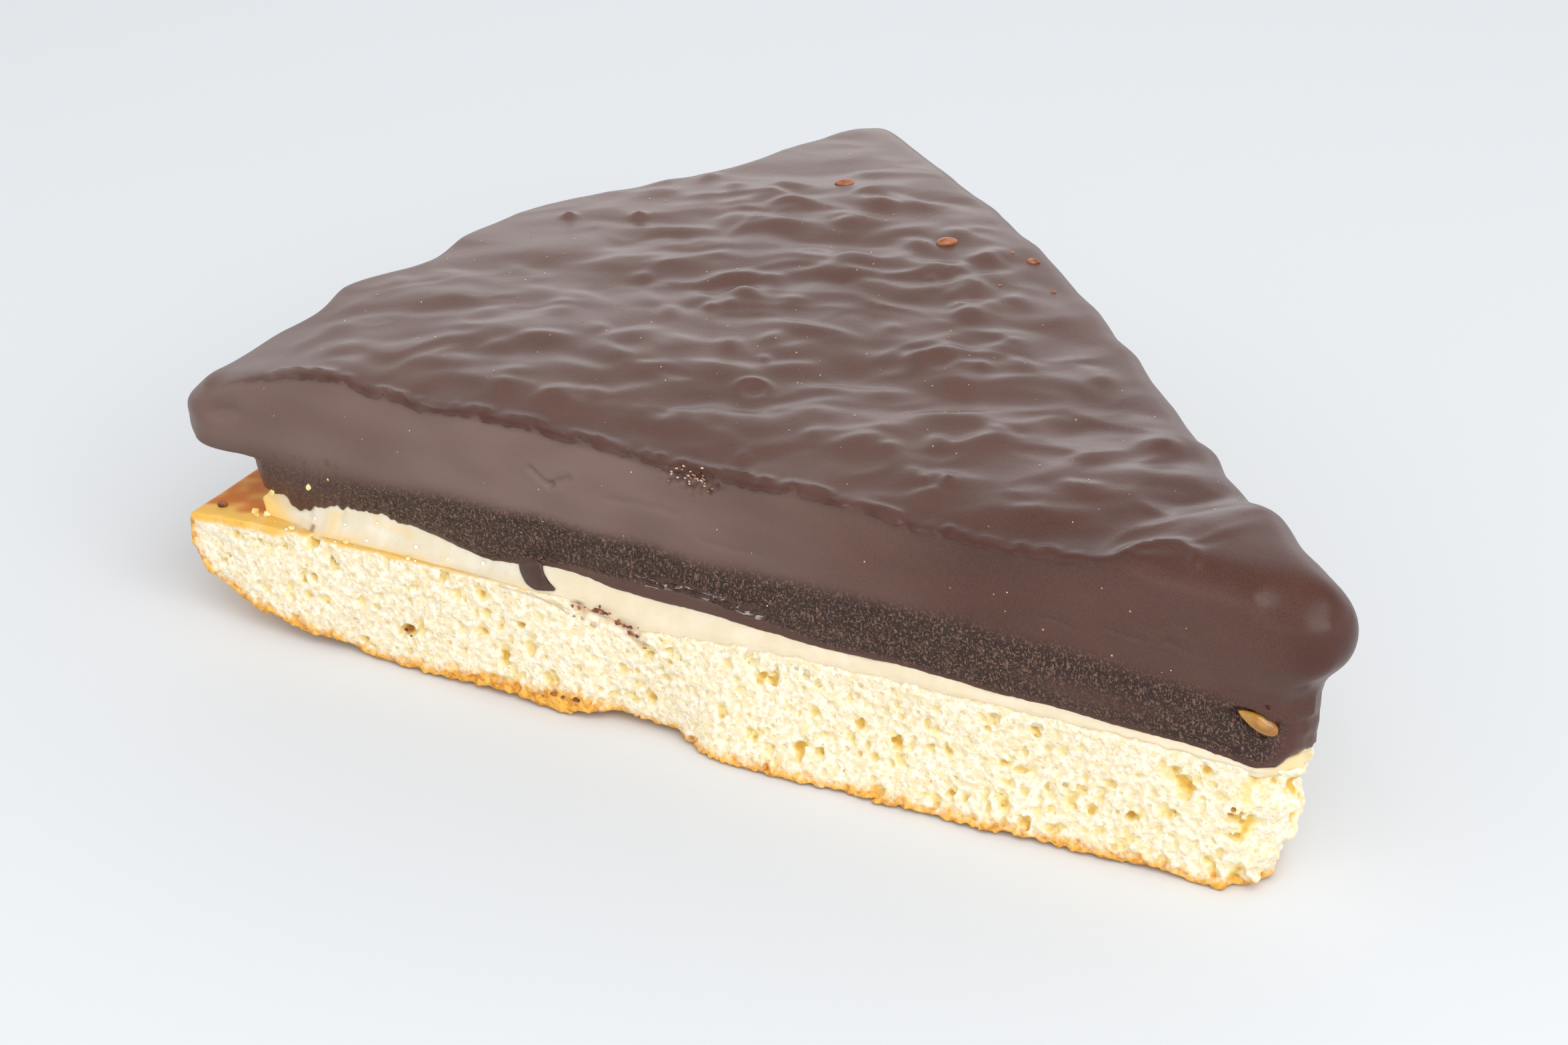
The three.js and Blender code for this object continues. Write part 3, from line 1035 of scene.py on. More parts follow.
    def fill(self, points: Array, step: float, porous: Sequence[Side], region: Array,
             rng: np.random.Generator) -> Array:
        """How far inside the sponge each voxel of a block is.

        Args:
            points: The voxels' centres.
            step: The voxels' size.
            porous: The cuts whose pores this block shows.
            region: How far inside the block's share of the sponge each voxel is.
            rng: The source of random numbers.

        Returns:
            The distance, above 0 inside.
        """
        shape = points.shape[:3]
        coarse, fine = lattice_noise(shape, 2.4 / step, rng), lattice_noise(shape, 0.9 / step, rng)
        finest = lattice_noise(shape, 0.45 / step, rng)
        crumbly = 0.08 * coarse + 0.12 * fine + 0.18 * finest
        d = self.depths(points)
        flaky = np.maximum(0, 1 - np.minimum(d["near"], d["far"]) / 2.5)
        d["near"] = d["near"] + crumbly
        d["far"] = d["far"] + crumbly
        d["tip"] = d["tip"] + 1.6 * coarse + 0.7 * fine + 0.25 * finest
        d["under"] = d["under"] + flaky * (0.25 * fine + 0.2 * finest) + 0.05 * fine
        inside = soft_min(d["near"], d["far"], 0.5)
        for name, blend in (("tip", 0.5), ("rim", 0.5), ("under", 0.5), ("top", 0.15)):
            inside = soft_min(inside, d[name], blend)
        rough = 0.35 * fine + 0.4 * finest
        for side in porous:
            self.carve(inside, points, rough, step, side, rng)
        return np.minimum(inside, region)

    def carve(self, inside: Array, points: Array, rough: Array, step: float, side: Side,
              rng: np.random.Generator) -> None:
        """Opens the pores of one cut in a block of voxels.

        Args:
            inside: How far inside the sponge each voxel is, changed in place.
            points: The voxels' centres, on axes along the cut, into it and up.
            rough: Noise that makes the pores uneven.
            step: The voxels' size.
            side: The cut.
            rng: The source of random numbers.
        """
        origin = points[0, 0, 0]
        axes = [(points[1, 0, 0] - origin) / step, (points[0, 1, 0] - origin) / step, np.array([0, 0, 1.0])]
        for along, height, depth, radii in self.pores(side, rng):
            proud = (self.front if side is Side.NEAR else self.back)(along, height / self.height)
            centre = on_cut(side, along, height, proud - depth)
            local = np.array([(centre - origin) @ axis for axis in axes]) / step
            span = np.array(radii) / step * 1.4 + 2
            low = np.maximum(0, np.floor(local - span)).astype(int)
            high = np.minimum(inside.shape, np.ceil(local + span)).astype(int)
            if np.any(low >= high):
                continue
            window = tuple(slice(a, b) for a, b in zip(low, high))
            spread = [((np.arange(a, b) - c) * step / r) ** 2 for a, b, c, r in zip(low, high, local, radii)]
            far = np.sqrt(spread[0][:, None, None] + spread[1][None, :, None] + spread[2][None, None, :])
            wall = (far - 1) * min(radii) + rough[window] * min(1.0, 1.3 * min(radii))
            inside[window] = np.minimum(inside[window], wall)

    def pores(self, side: Side, rng: np.random.Generator) -> list[tuple]:
        """The pores of a cut: distance along it, height, depth of the middle, and half-sizes.

        Args:
            side: The cut.
            rng: The source of random numbers.

        Returns:
            The pores.
        """
        found = []

        def add(along: float, height: float, depth: float, radii: tuple[float, float, float]) -> None:
            """Adds a pore and smaller ones that break into it.

            Args:
                along: Distance along the cut.
                height: Height.
                depth: How deep its middle lies.
                radii: Its half-sizes.
            """
            found.append((along, height, depth, radii))
            for _ in range(rng.integers(0, 3)):
                aside = rng.uniform(-1, 1, 2) * (radii[0], radii[2])
                share = rng.uniform(0.35, 0.65)
                found.append((along + aside[0], height + aside[1], depth, tuple(share * r for r in radii)))

        for along, height, width, tall in self.large_pores:
            place = along if side is Side.NEAR else self.mirror - along
            add(place, height, 0.0, (0.45 * width, 0.35 * width, 0.45 * tall))
        for _ in range(self.small_pores):
            along, height = rng.uniform(9, 146), rng.uniform(1.2, 14.6)
            size = float(np.clip(rng.lognormal(math.log(0.28), 0.46), 0.17, 0.95))
            add(along, height, rng.uniform(-0.7, 0.25) * size,
                (size, size * rng.uniform(0.7, 1.1), size * rng.uniform(0.75, 1.35)))
        for _ in range(self.dents):
            along, height = rng.uniform(9, 144), rng.uniform(1.5, 14.2)
            size = rng.uniform(0.35, 0.75)
            add(along, height, rng.uniform(-0.45, 0.0) * size,
                (size, size * 0.8, size * rng.uniform(0.8, 1.5)))
        return found

    def block(self, side: Side, lengths: tuple[float, float], deep: tuple[float, float], step: float,
              region: Callable[[Array], Array], porous: Sequence[Side], seed: int) -> tuple[Array, Array]:
        """One block of the sponge as a closed mesh.

        Args:
            side: The cut along which the voxels lie.
            lengths: From and to which distance along the cut the voxels reach.
            deep: From and to which depth in the cut they reach.
            step: Their size.
            region: How far inside the block's share of the sponge points are.
            porous: The cuts whose pores the block shows.
            seed: The seed of its random numbers.

        Returns:
            The points and the quads.
        """
        rng = np.random.default_rng(seed)
        heights = (-1.0, self.height + 1.6)
        s, t, z = (np.arange(low, high, step) for low, high in (lengths, deep, heights))
        points = on_cut(side, s[:, None, None], z[None, None, :], -t[None, :, None])
        inside = self.fill(points, step, porous, region(points), rng)
        grid = vdb.FloatGrid(1.0)
        grid.copyFromArray(-inside.astype(np.float32) / step)
        corners, _, quads = grid.convertToPolygons(isovalue=0.0, adaptivity=0.0)
        corners, quads = largest_part(corners.astype(float), quads.astype(int))
        spread = on_cut(side, s[0] + corners[:, 0] * step, z[0] + corners[:, 2] * step,
                        -(t[0] + corners[:, 1] * step))
        return spread, quads[:, ::-1] if side is Side.FAR else quads

    def tones(self, points: Array) -> Array:
        """Toast, pore depth (for the pores' painted glow and shade), stain and glaze for points of the
        surface.

        Args:
            points: The surface's points.

        Returns:
            The weights, one row for each point.
        """
        x, y, z = points.T
        d = self.depths(points)
        reach = np.hypot(x, y)
        along = along_cut(x, y, Side.NEAR)
        ragged = 0.35 * waves(along / 1.1, z / 0.8, 31) + 0.3 * waves(along / 4, y / 4, 32)
        skin = np.minimum(d["under"], d["rim"])
        flap = 1.3 * bell(along, 97, 5) + 0.6 * bell(along, 107, 8) - 0.5 * bell(along, 85, 5)
        granular = 0.7 * waves(along / 0.7, z / 0.7 + y, 38) + 0.6 * waves(along / 3.2, y / 2, 39)
        toast = 1 - smoothstep(skin - flap * (d["near"] < 1.5) + granular, 0.4, 1.9)
        open_cut = np.minimum(np.minimum(d["near"], d["far"]), d["tip"])
        # Pore depth drives the pores' painted yellow glow and shade.
        pore = smoothstep(open_cut, 0.0, 1.05) * (np.minimum(skin, d["top"]) > 0.2)
        crust = smoothstep(reach, 131, 137) * (1 - smoothstep(d["top"], 0.5, 1.6))
        brown = 0.5 + 0.5 * smoothstep(d["near"] + 0.8 * ragged, 1.4, 3.4) * smoothstep(reach, 130, 136)
        line = (1 - smoothstep(d["top"] + 0.5 * ragged, 0.0, 0.45)) * smoothstep(along, 88, 120)
        patchy = 0.86 + 0.28 * waves(x / 2.6, y / 2.6, 40)
        glaze = np.maximum(crust * brown * patchy, 0.4 * line * (d["near"] < 1.5))
        away = near_segment(along, z + 0.6 * waves(along / 1.6, 0.5, 37), (94.5, 14.6), (89.0, 14.3))
        away = np.minimum(away, near_segment(along, z, (89.0, 14.3), (86.0, 12.2)))
        charred = (1 - smoothstep(away + 0.5 * ragged, 0.1, 1.3)) * (d["near"] < 1.2)
        burnt = np.hypot(along - 117.9, z - 5.4) + 0.3 * ragged
        stain = np.maximum(0.45 * charred, 0.8 * (1 - smoothstep(burnt, 0.3, 0.8)) * (d["near"] < 1.5))
        return np.stack([toast, pore, stain, glaze], -1)

    def build(self) -> list[bpy.types.Object]:
        """Makes the three blocks of the sponge, which overlap a little inside.

        Returns:
            The pieces.
        """
        shell, overlap, tip_length = self.shell, self.overlap, self.tip_length

        def near_share(points: Array) -> Array:
            """The near cut and the whole tip."""
            x, y = points[..., 0], points[..., 1]
            return np.maximum(shell + out_of_cut(x, y, Side.NEAR), tip_length - np.hypot(x, y))

        def far_share(points: Array) -> Array:
            """The far cut, without the tip."""
            x, y = points[..., 0], points[..., 1]
            return np.minimum(shell + out_of_cut(x, y, Side.FAR), np.hypot(x, y) - tip_length + overlap)

        def middle_share(points: Array) -> Array:
            """What lies between them."""
            x, y = points[..., 0], points[..., 1]
            near = overlap - shell - out_of_cut(x, y, Side.NEAR)
            return np.minimum(near, overlap - shell - out_of_cut(x, y, Side.FAR))

        sides = (-1.8, 14.0), (-1.8, shell + 1), (shell - 1, 116.0)
        blocks = {
            "sponge_near": self.block(Side.NEAR, (4.0, 151.0), sides[0], self.fine_step, near_share,
                                      (Side.NEAR,), 11),
            "sponge_far": self.block(Side.FAR, (13.0, 151.0), sides[1], self.far_step, far_share,
                                     (Side.FAR,), 12),
            "sponge_middle": self.block(Side.NEAR, (14.0, 151.0), sides[2], self.coarse_step, middle_share,
                                        (), 13),
        }
        material = CrumbFinish().material()
        pieces = []
        for name, (points, faces) in blocks.items():
            piece = make_piece(name, points, faces, self.tones(points))
            pieces.append(settle(piece, material, "crumb", "sponge_base"))
        return pieces


@dataclass
class ChocolateTopping(Layer):
    """The thick chocolate topping, rippled on top, smooth on the cut and grainy low down."""

    bottom_at_tip: float = 16.5
    bottom_rise: float = 1.7
    height: float = 36.7
    calm_height: float = 38.5  # bumps above this are flattened
    calm_room: float = 1.2  # and end this much higher
    dome: float = 0.7
    crest: float = 0.8
    fall_start: float = 122.0
    fall: float = 1.3
    corner_fall: float = 4.6
    fall_length: float = 22.0
    rim_radius: float = 146.6
    neck: float = 11.6
    shoulder: float = 4.5
    corner_round: float = 4.5
    nose_radius: float = 5.2
    neck_radius: float = 4.4
    nose_bulge: float = 2.0
    nose_fade: float = 9.0
    tip_swell: float = 1.9
    far_roll: float = 3.5
    setback: float = 2.6
    coat: float = 0.3
    ridge: tuple[tuple[float, float], ...] = (
        # the height of the near top edge
        (21.0, 37.6), (27.0, 37.5), (32.0, 36.2), (43.0, 35.4), (51.0, 35.5), (58.0, 36.2), (65.0, 36.6),
        (77.0, 36.0), (84.0, 36.0), (97.0, 36.6), (108.0, 36.6), (115.0, 35.9), (121.0, 36.2), (126.0, 37.1),
        (130.0, 36.6), (134.0, 35.5), (140.0, 34.1), (144.0, 32.6),
    )
    lower_edge: tuple[tuple[float, float], ...] = (
        # the height of the near lower edge
        (7.0, 17.4), (9.0, 16.4), (11.6, 16.3), (18.0, 16.6), (24.0, 17.0), (46.0, 17.2), (54.0, 17.4),
        (59.0, 17.1), (64.0, 16.8), (71.0, 16.7), (77.0, 17.1), (91.0, 17.2), (95.5, 17.6), (99.0, 17.6),
        (103.5, 16.8), (107.5, 16.3), (110.0, 16.7), (113.2, 17.5), (116.4, 18.1), (123.0, 18.8),
        (126.3, 18.3), (129.6, 18.2), (131.6, 17.3), (134.5, 16.8), (136.0, 18.4), (140.0, 18.2),
    )
    back_bulge: float = 2.6
    ripple_along: float = 13.0
    ripple_across: float = 6.2
    ripple_height: float = 0.52
    mounds: int = 130
    ripple_turn: float = 0.863
    crests: tuple[tuple[float, ...], ...] = (
        # on the top: reach and angle of the middle, turn, length and height
        (118.1, -0.6, 0.1, 4.0, 0.4), (123.7, 3.2, -0.2, 5.0, 0.35), (116.5, 8.2, 0.2, 4.0, 0.35),
        (100.4, 7.2, 0.0, 5.0, 0.45), (87.7, 0.8, -0.3, 4.0, 0.45), (107.4, 15.6, 0.3, 3.5, 0.35),
        (96.1, 18.6, 0.2, 3.0, 0.35), (55.9, -3.9, 0.3, 4.5, 0.5), (53.2, -12.4, -0.2, 3.5, 0.4),
        (74.0, 6.0, 0.2, 3.5, 0.35), (66.0, -9.0, 0.1, 3.0, 0.35), (45.0, 5.0, 0.4, 3.0, 0.35),
    )
    far_swell: tuple[tuple[float, float], ...] = (
        # how much further the far top edge stands out
        (19.0, 0.2), (22.3, 0.45), (28.0, -0.2), (38.5, -0.55), (41.0, -0.15), (43.4, 0.35), (46.0, -0.5),
        (51.0, -0.15), (56.0, 0.45), (63.0, 0.6), (69.5, 1.3), (74.3, 0.5), (82.0, 0.85), (87.0, 0.25),
        (97.0, 0.2), (100.4, 0.6), (104.0, 0.1), (113.0, 0.5), (118.0, 0.1), (123.0, 0.0), (128.0, 0.5),
    )
    nubs: tuple[tuple[float, ...], ...] = (
        # on the top: reach, angle, size and height
        (136.2, 0.4, 0.8, 0.7), (129.8, 3.1, 0.9, 0.7), (101.5, -2.5, 0.9, 0.4), (86.6, -5.8, 0.9, 0.35),
        (92.5, 13.1, 0.8, 0.35), (84.4, 12.5, 1.0, 0.3), (69.6, 7.9, 1.0, 0.4), (52.4, -13.4, 0.8, 0.7),
        (75.1, -19.2, 0.9, 0.5), (55.0, -14.5, 0.7, 0.4),
    )
    creases: tuple[tuple[float, ...], ...] = (
        # on the near cut: from and to, each along and height, then the depth
        (99.8, 31.2, 97.2, 29.9, 0.3), (97.2, 29.9, 94.8, 31.7, 0.3), (89.8, 30.0, 80.6, 30.3, 0.12),
        (78.1, 27.7, 70.7, 27.3, 0.14), (36.3, 28.6, 33.1, 28.2, 0.22), (29.3, 29.5, 25.1, 29.0, 0.22),
        (22.0, 29.6, 17.5, 28.6, 0.25),
    )
    dimple: tuple[tuple[float, float], ...] = ((142.6, 29.7), (140.2, 30.2))  # along and height
    crater: tuple[float, float] = (-81.3, -14.6)
    patch: tuple[float, float] = (78.9, 35.0)  # the porous patch: along the near cut, and height
    smear: tuple[tuple[float, float], ...] = (
        # the middle of the glossy smear on the near cut
        (70.0, 19.3), (73.0, 19.5), (77.5, 20.0), (82.5, 20.2), (87.5, 19.6),
    )
    plain_strip: tuple[tuple[float, float], ...] = (
        # the width of the strip without grain along the near lower edge
        (10.0, 0.8), (25.0, 0.5), (60.0, 0.4), (70.0, 1.5), (80.0, 2.2), (92.0, 1.6), (101.0, 0.5),
        (135.0, 0.3),
    )
    bloomed: tuple[tuple[float, float], ...] = (
        # how strong the bloom is along the near cut
        (8.0, 0.0), (20.0, 0.12), (45.0, 0.05), (62.0, 0.4), (90.0, 0.95), (112.0, 0.95), (135.0, 0.7),
    )
    notches: tuple[float, ...] = (
        # in the torn lip, along the near cut
        124.6, 119.3, 106.8, 99.0, 93.0, 86.0, 66.5, 53.0, 49.0, 39.5, 31.5,
    )

    def underside(self, x: Array, y: Array) -> Array:
        """The height of the underside."""
        return self.bottom_at_tip + self.bottom_rise * np.hypot(x, y) / CAKE_RADIUS

    def hem(self, x: Array, y: Array) -> Array:
        """How far the torn lower edge of the near cut is off the underside.

        Args:
            x: Along X.
            y: Along Y.

        Returns:
            The distance.
        """
        along = along_cut(x, y, Side.NEAR)
        depth = np.maximum(0, -out_of_cut(x, y, Side.NEAR) - self.foot(along))
        rough = 0.4 + 2.2 * smoothstep(along, 116, 124)
        torn = rough * (0.16 * waves(along / 1.4, 0.5, 41) + 0.13 * waves(along / 0.7, 0.5, 42))
        line = follow(along, self.lower_edge) - self.underside(x, y)
        return (line + torn) * np.exp(-((depth / 3.5) ** 2))

    def foot(self, reach: Array) -> Array:
        """How far the near cut's lower edge stands back."""
        return lerp(0.3, self.setback, smoothstep(reach, 20, 132))

    def ripples(self, x: Array, y: Array) -> Array:
        """The height of the coating's ripples, calm along the cuts and at the rim.

        Args:
            x: Along X.
            y: Along Y.

        Returns:
            The height.
        """
        reach = np.hypot(x, y)
        ct, st = math.cos(self.ripple_turn), math.sin(self.ripple_turn)
        a, b = x * ct + y * st, y * ct - x * st
        calm = smoothstep(distance_to_cut(x, y), 0, 7) * (1 - 0.7 * smoothstep(reach, 118, 140))
        broad = noise(a / self.ripple_along, b / self.ripple_across, 1) * (0.25 + 0.75 * calm)
        wa, wb = a + 2.2 * waves(x / 9, y / 9, 43), b + 1.6 * waves(x / 7, y / 7, 44)
        ridge = 1 - 1.6 * np.abs(waves(wa / 11, wb / 6.5, 45))
        small = waves(wa / 6, wb / 3.6, 46)
        lively = 0.12 + 0.88 * calm * smoothstep(waves(x / 24, y / 24, 47), -0.9, 0.5)
        return self.ripple_height * broad + lively * (0.3 * ridge + 0.2 * small)

    def top(self, x: Array, y: Array) -> Array:
        """The height of the top, with its ripples, bumps and crater.

        Args:
            x: Along X.
            y: Along Y.

        Returns:
            The height.
        """
        reach, angle = np.hypot(x, y), np.degrees(np.arctan2(y, -x))
        past = np.maximum(0, reach - self.fall_start) / self.fall_length
        near_corner = smoothstep(-angle / math.degrees(HALF_ANGLE), 0.35, 1)
        fall = lerp(self.fall, self.corner_fall, near_corner) * past * past
        swell = self.dome * (1 - np.exp(-distance_to_cut(x, y) / 9)) + self.crest * bell(reach, 104, 18)
        swell = swell - 0.45 * bell(reach, 56, 14) * smoothstep(angle, 8, 20)
        head = self.tip_swell * smoothstep(31 - reach, 0, 8)
        depth = np.maximum(0, -out_of_cut(x, y, Side.NEAR))
        edge = np.exp(-((depth / 5.5) ** 2)) * smoothstep(reach, 16, 26)
        head = lerp(head + swell - fall, follow(along_cut(x, y, Side.NEAR), self.ridge) - self.height, edge)
        for side in Side:
            roll = self.roll(reach, side)
            head = head - corner_inset(np.maximum(self.inside(x, y, side), CORNER_GAP * roll), roll)
        bumps = 0.0
        for far, turn, size, tall in self.nubs:
            at = from_middle(far, turn)
            bumps = bumps + tall * np.exp(-((x - at[0]) ** 2 + (y - at[1]) ** 2) / size**2)
        from_x, from_y = x - self.crater[0], y - self.crater[1]
        away = np.hypot(from_x, from_y)
        behind = smoothstep(from_y * 0.65 - from_x * 0.76, -2.5, 2.0)
        ring = (0.05 + 0.4 * behind) * bell(away, 1.85, 0.7) - 0.12 * bell(away, 0, 1.2)
        ring = ring + self.curls(x, y)
        high = self.height + head + bumps + ring + self.edge_curl(x, y) + self.ripples(x, y)
        over = np.maximum(0, high - self.calm_height)
        return high - over + self.calm_room * np.tanh(over / self.calm_room)

    def edge_curl(self, x: Array, y: Array) -> Array:
        """The height of the torn curl that runs along the near top edge.

        Args:
            x: Along X.
            y: Along Y.

        Returns:
            The height.
        """
        along, deep = along_cut(x, y, Side.NEAR), -out_of_cut(x, y, Side.NEAR)
        torn = np.clip(0.45 + 1.1 * waves(along / 1.7, 0.5, 51) + 0.6 * waves(along / 6, 0.5, 71), 0, 1.4)
        ends = smoothstep(along, 28, 40) * (1 - smoothstep(along, 132, 141))
        return 0.42 * torn * ends * bell(deep, 0.9, 0.7)

    def curls(self, x: Array, y: Array) -> Array:
        """The height of the single crests, the scattered mounds and the loop by the near edge.

        Args:
            x: Along X.
            y: Along Y.

        Returns:
            The height.
        """
        total = 0.0
        rng = np.random.default_rng(8)
        far, turn = 28 + 110 * np.sqrt(rng.random(self.mounds)), rng.uniform(-20, 20, self.mounds)
        shape = rng.uniform((-0.75, 1.2, 0.2), (0.75, 3.4, 0.65), (self.mounds, 3))
        shape[:, 2] *= 1 - 0.6 * smoothstep(far, 95, 130) * (turn < 4)
        calm = smoothstep(distance_to_cut(x, y), 0.5, 6)
        for far, turn, lean, length, tall in (*self.crests, *np.column_stack([far, turn, shape])):
            at = from_middle(far, turn)
            ct, st = math.cos(self.ripple_turn + lean), math.sin(self.ripple_turn + lean)
            a, b = (x - at[0]) * ct + (y - at[1]) * st, (y - at[1]) * ct - (x - at[0]) * st
            b = b + 0.06 * a * a / max(length, 1.0) + 0.3 * waves(a / 3, 0.5, far)
            across = np.exp(-((b / np.where(b > 0, 1.05, 2.2)) ** 2))
            total = total + calm * tall * np.exp(-((a / length) ** 2)) * across
        along, deep = along_cut(x, y, Side.NEAR), -out_of_cut(x, y, Side.NEAR)
        loop = np.hypot((along - 24.6) / 1.25, deep - 1.0) + 0.3 * waves(along / 2.5, deep / 2.5, 66)
        return total + 0.55 * bell(loop, 3.3, 0.75) * smoothstep(deep, 0.2, 1.6)

    def rim(self, angle: Array, h: Array) -> Array:
        """The radius of the rim, which has lumps, a neck and a rounded shoulder.

        Args:
            angle: Angle from the middle.
            h: Height on the side, 0 to 1.

        Returns:
            The radius.
        """
        degrees = np.degrees(angle)
        lumps = (0.4 * bell(degrees, 1, 4) - 3.2 * bell(degrees, 9, 5) + 4.4 * bell(degrees, 21, 4)
                 - 0.9 * bell(degrees, 12.6, 3.6) + 3.0 * bell(degrees, -23, 3.4)
                 - 1.2 * bell(degrees, -15.5, 2.2) + 0.6 * bell(degrees, -13, 1.2)
                 - 1.6 * bell(degrees, -7, 3.5) - 2.2 * bell(degrees, -8.8, 2.2)
                 + 0.5 * noise(angle * 22, h, 13))
        near = smoothstep(-degrees, 10, 18)
        start, end = lerp(0.24, 0.29, near), lerp(0.6, 0.47, near)
        neck = self.neck * (0.9 + 0.1 * noise(angle * 12, 1.5, 15))
        neck = neck * (1 - smoothstep((h - start) / (end - start), 0, 1))
        neck = neck * (1 - 0.2 * (1 - near) * (1 - smoothstep(h, 0, 0.24)))
        shoulder = self.shoulder * (1 - 0.25 * smoothstep(-degrees, 12, 20)) * smoothstep(h, 0.62, 1) ** 2
        from_cut = CAKE_RADIUS * (HALF_ANGLE - np.abs(angle))
        rounding = self.corner_round * (0.35 + 0.65 * bell(h, 0.62, 0.22))
        return self.rim_radius + lumps - neck - shoulder - corner_inset(from_cut, rounding)

    def nose(self, h: Array) -> tuple[Array, Array]:
        """The radius of the round nose at the tip, and how far it swells out of both cuts."""
        radius = lerp(self.neck_radius, self.nose_radius, smoothstep(h, 0.33, 0.66))
        return radius, self.nose_bulge * smoothstep(h, 0.34, 0.76)

    def tip(self, q: Array, h: Array) -> Array:
        """How far from the meeting point the nose's head, neck and foot end.

        Args:
            q: Across, from the near cut (0) to the far (1).
            h: Height on the side, 0 to 1.

        Returns:
            The distance.
        """
        radius, bulge = self.nose(h)
        middle = (radius - bulge) / SIN
        angle = lerp(-HALF_ANGLE, HALF_ANGLE, q)
        arc = np.sqrt(np.maximum(0, radius**2 - (middle * np.sin(angle)) ** 2))
        drawn_in = 0.2 * (1 - smoothstep(h, 0.35, 0.5)) + 1.0 * (1 - smoothstep(h, 0.06, 0.3))
        drawn_in = drawn_in + 1.6 * (1 - smoothstep(h, 0, 0.07)) + 0.6 * bell(h, 0.235, 0.02)
        torn = 0.3 * waves(q * 6, h * 14, 65) * (1 - smoothstep(h, 0.15, 0.25))
        side = 1 - 0.6 * (2 * q - 1) ** 2
        rolled = self.rolled(h, self.roll(6.0, Side.NEAR))
        return middle * np.cos(angle) - arc + side * drawn_in + torn + rolled

    def swelling(self, reach: Array, h: Array) -> Array:
        """How far the nose stands out of a cut, swollen and then drawn in round its end.

        Args:
            reach: Distance from the meeting point.
            h: Height on the side, 0 to 1.

        Returns:
            The distance.
        """
        radius, bulge = self.nose(h)
        foot = (radius - bulge) * COS / SIN
        curved = radius - np.sqrt(np.maximum(0, radius**2 - np.clip(foot - reach, 0, radius) ** 2))
        return bulge * np.exp(-((np.maximum(0, reach - foot) / self.nose_fade) ** 2)) - curved

    def inside(self, x: Array, y: Array, side: Side) -> Array:
        """How far inside one side of the top's outline a place is, with the round nose.

        Args:
            x: Along X.
            y: Along Y.
            side: The cut.

        Returns:
            The distance.
        """
        radius, bulge = self.nose_radius, self.nose_bulge
        middle = (radius - bulge) / SIN
        along = along_cut(x, y, side)
        swelling = self.swelling(np.maximum(along, middle * COS), 0.9)
        proud = swelling + (self.stand(along) if side is Side.FAR else 0.0)
        straight = proud - out_of_cut(x, y, side)
        return np.where(along < middle * COS, radius - np.hypot(x + middle, y), straight)

    def roll(self, reach: Array, side: Side) -> Array:
        """The radius of a top edge: soft at the tip and at the back, crisp along the near cut."""
        if side is Side.FAR:
            return self.far_roll + 1.6 * smoothstep(24 - reach, 0, 10)
        return 0.6 + 2.8 * smoothstep(36 - reach, 0, 20) + 3.0 * smoothstep(reach, 134, 146)

    def rolled(self, h: Array, roll: Array) -> Array:
        """How far a side is drawn in just below a top edge of a given radius."""
        return corner_inset((1 - h) * (self.height - self.bottom_at_tip) + CORNER_GAP * roll, roll)

    def level(self, reach: Array, h: Array) -> Array:
        """About how high a place on the near cut is."""
        low = self.bottom_at_tip + self.bottom_rise * reach / CAKE_RADIUS
        hem = (follow(reach, self.lower_edge) - low) * (1 - h) ** 3
        return lerp(low, follow(reach, self.ridge), h) + hem

    def front(self, reach: Array, h: Array) -> Array:
        """How far the near side stands out of its cut, with its creases, lip and hollows.

        Args:
            reach: Distance from the meeting point.
            h: Height on the side, 0 to 1.

        Returns:
            The distance.
        """
        z = self.level(reach, h)
        setback = self.foot(reach) * (1 - h) ** 2
        away = smoothstep(reach, 8, 20)
        lobe = 0.8 * bell(reach, 143, 6) * bell(h, 0.6, 0.3)
        out = away * (0.5 * np.sin(math.pi * h) - setback + lobe + 0.2 * noise(reach / 8, h * 2, 17))
        out = out + self.swelling(reach, h) - self.rolled(h, self.roll(reach, Side.NEAR))
        out = out + 0.3 * self.lip(reach, h) * (1 + 0.7 * waves(reach / 1.9, 0.5, 51))
        soft = 0.14 + 0.2 * bell(reach, 26, 16)
        out = out + 0.05 * waves(reach / 3.5, z / 1.6, 53) + away * soft * waves(reach / 11, z / 6, 54)
        for s0, z0, s1, z1, deep in self.creases:
            bent = z + 0.35 * waves(reach / 2.6, s0, 64)
            fold = near_segment(reach, bent, (s0, z0), (s1, z1))
            out = out - deep * (np.exp(-((fold / 0.4) ** 2)) - 0.3 * np.exp(-(((fold - 0.9) / 0.5) ** 2)))
        out = out - 0.7 * np.exp(-((near_segment(reach, z, *self.dimple) / 0.85) ** 2))
        porous = self.porous(reach, z)
        out = out - porous * (0.1 + 0.45 * np.abs(waves(reach / 0.8, z / 0.6, 55)))
        out = out + 0.07 * self.grainy(reach, h) * waves(reach / 0.62, z / 0.62, 56)
        ropes = 1 - 2 * np.abs(waves(reach / 2.6, (z + 0.12 * reach) / 0.7, 57))
        out = out + self.wet(reach, z) * (0.12 + 0.3 * ropes)
        socket = np.hypot((reach - 12.3) / 3.0, (z - 21.5 - 0.32 * (reach - 12.3)) / 1.5)
        return out - 1.0 * (1 - smoothstep(socket, 0.6, 1.1))

    def lip(self, reach: Array, h: Array) -> Array:
        """The weight of the cut coating's ragged lip along the near top edge.

        Args:
            reach: Distance from the meeting point.
            h: Height on the side, 0 to 1.

        Returns:
            The weight, from 0 to 1.
        """
        straight = smoothstep(reach, 24, 36) * (1 - smoothstep(reach, 139, 145))
        lower = 0.973 + 0.012 * waves(reach / 0.9, 0.5, 52) + 0.014 * waves(reach / 3.1, 0.5, 62)
        for s in self.notches:
            lower = lower + 0.03 * bell(reach, s, 0.7)
        return straight * smoothstep(h - lower, -0.006, 0.006)

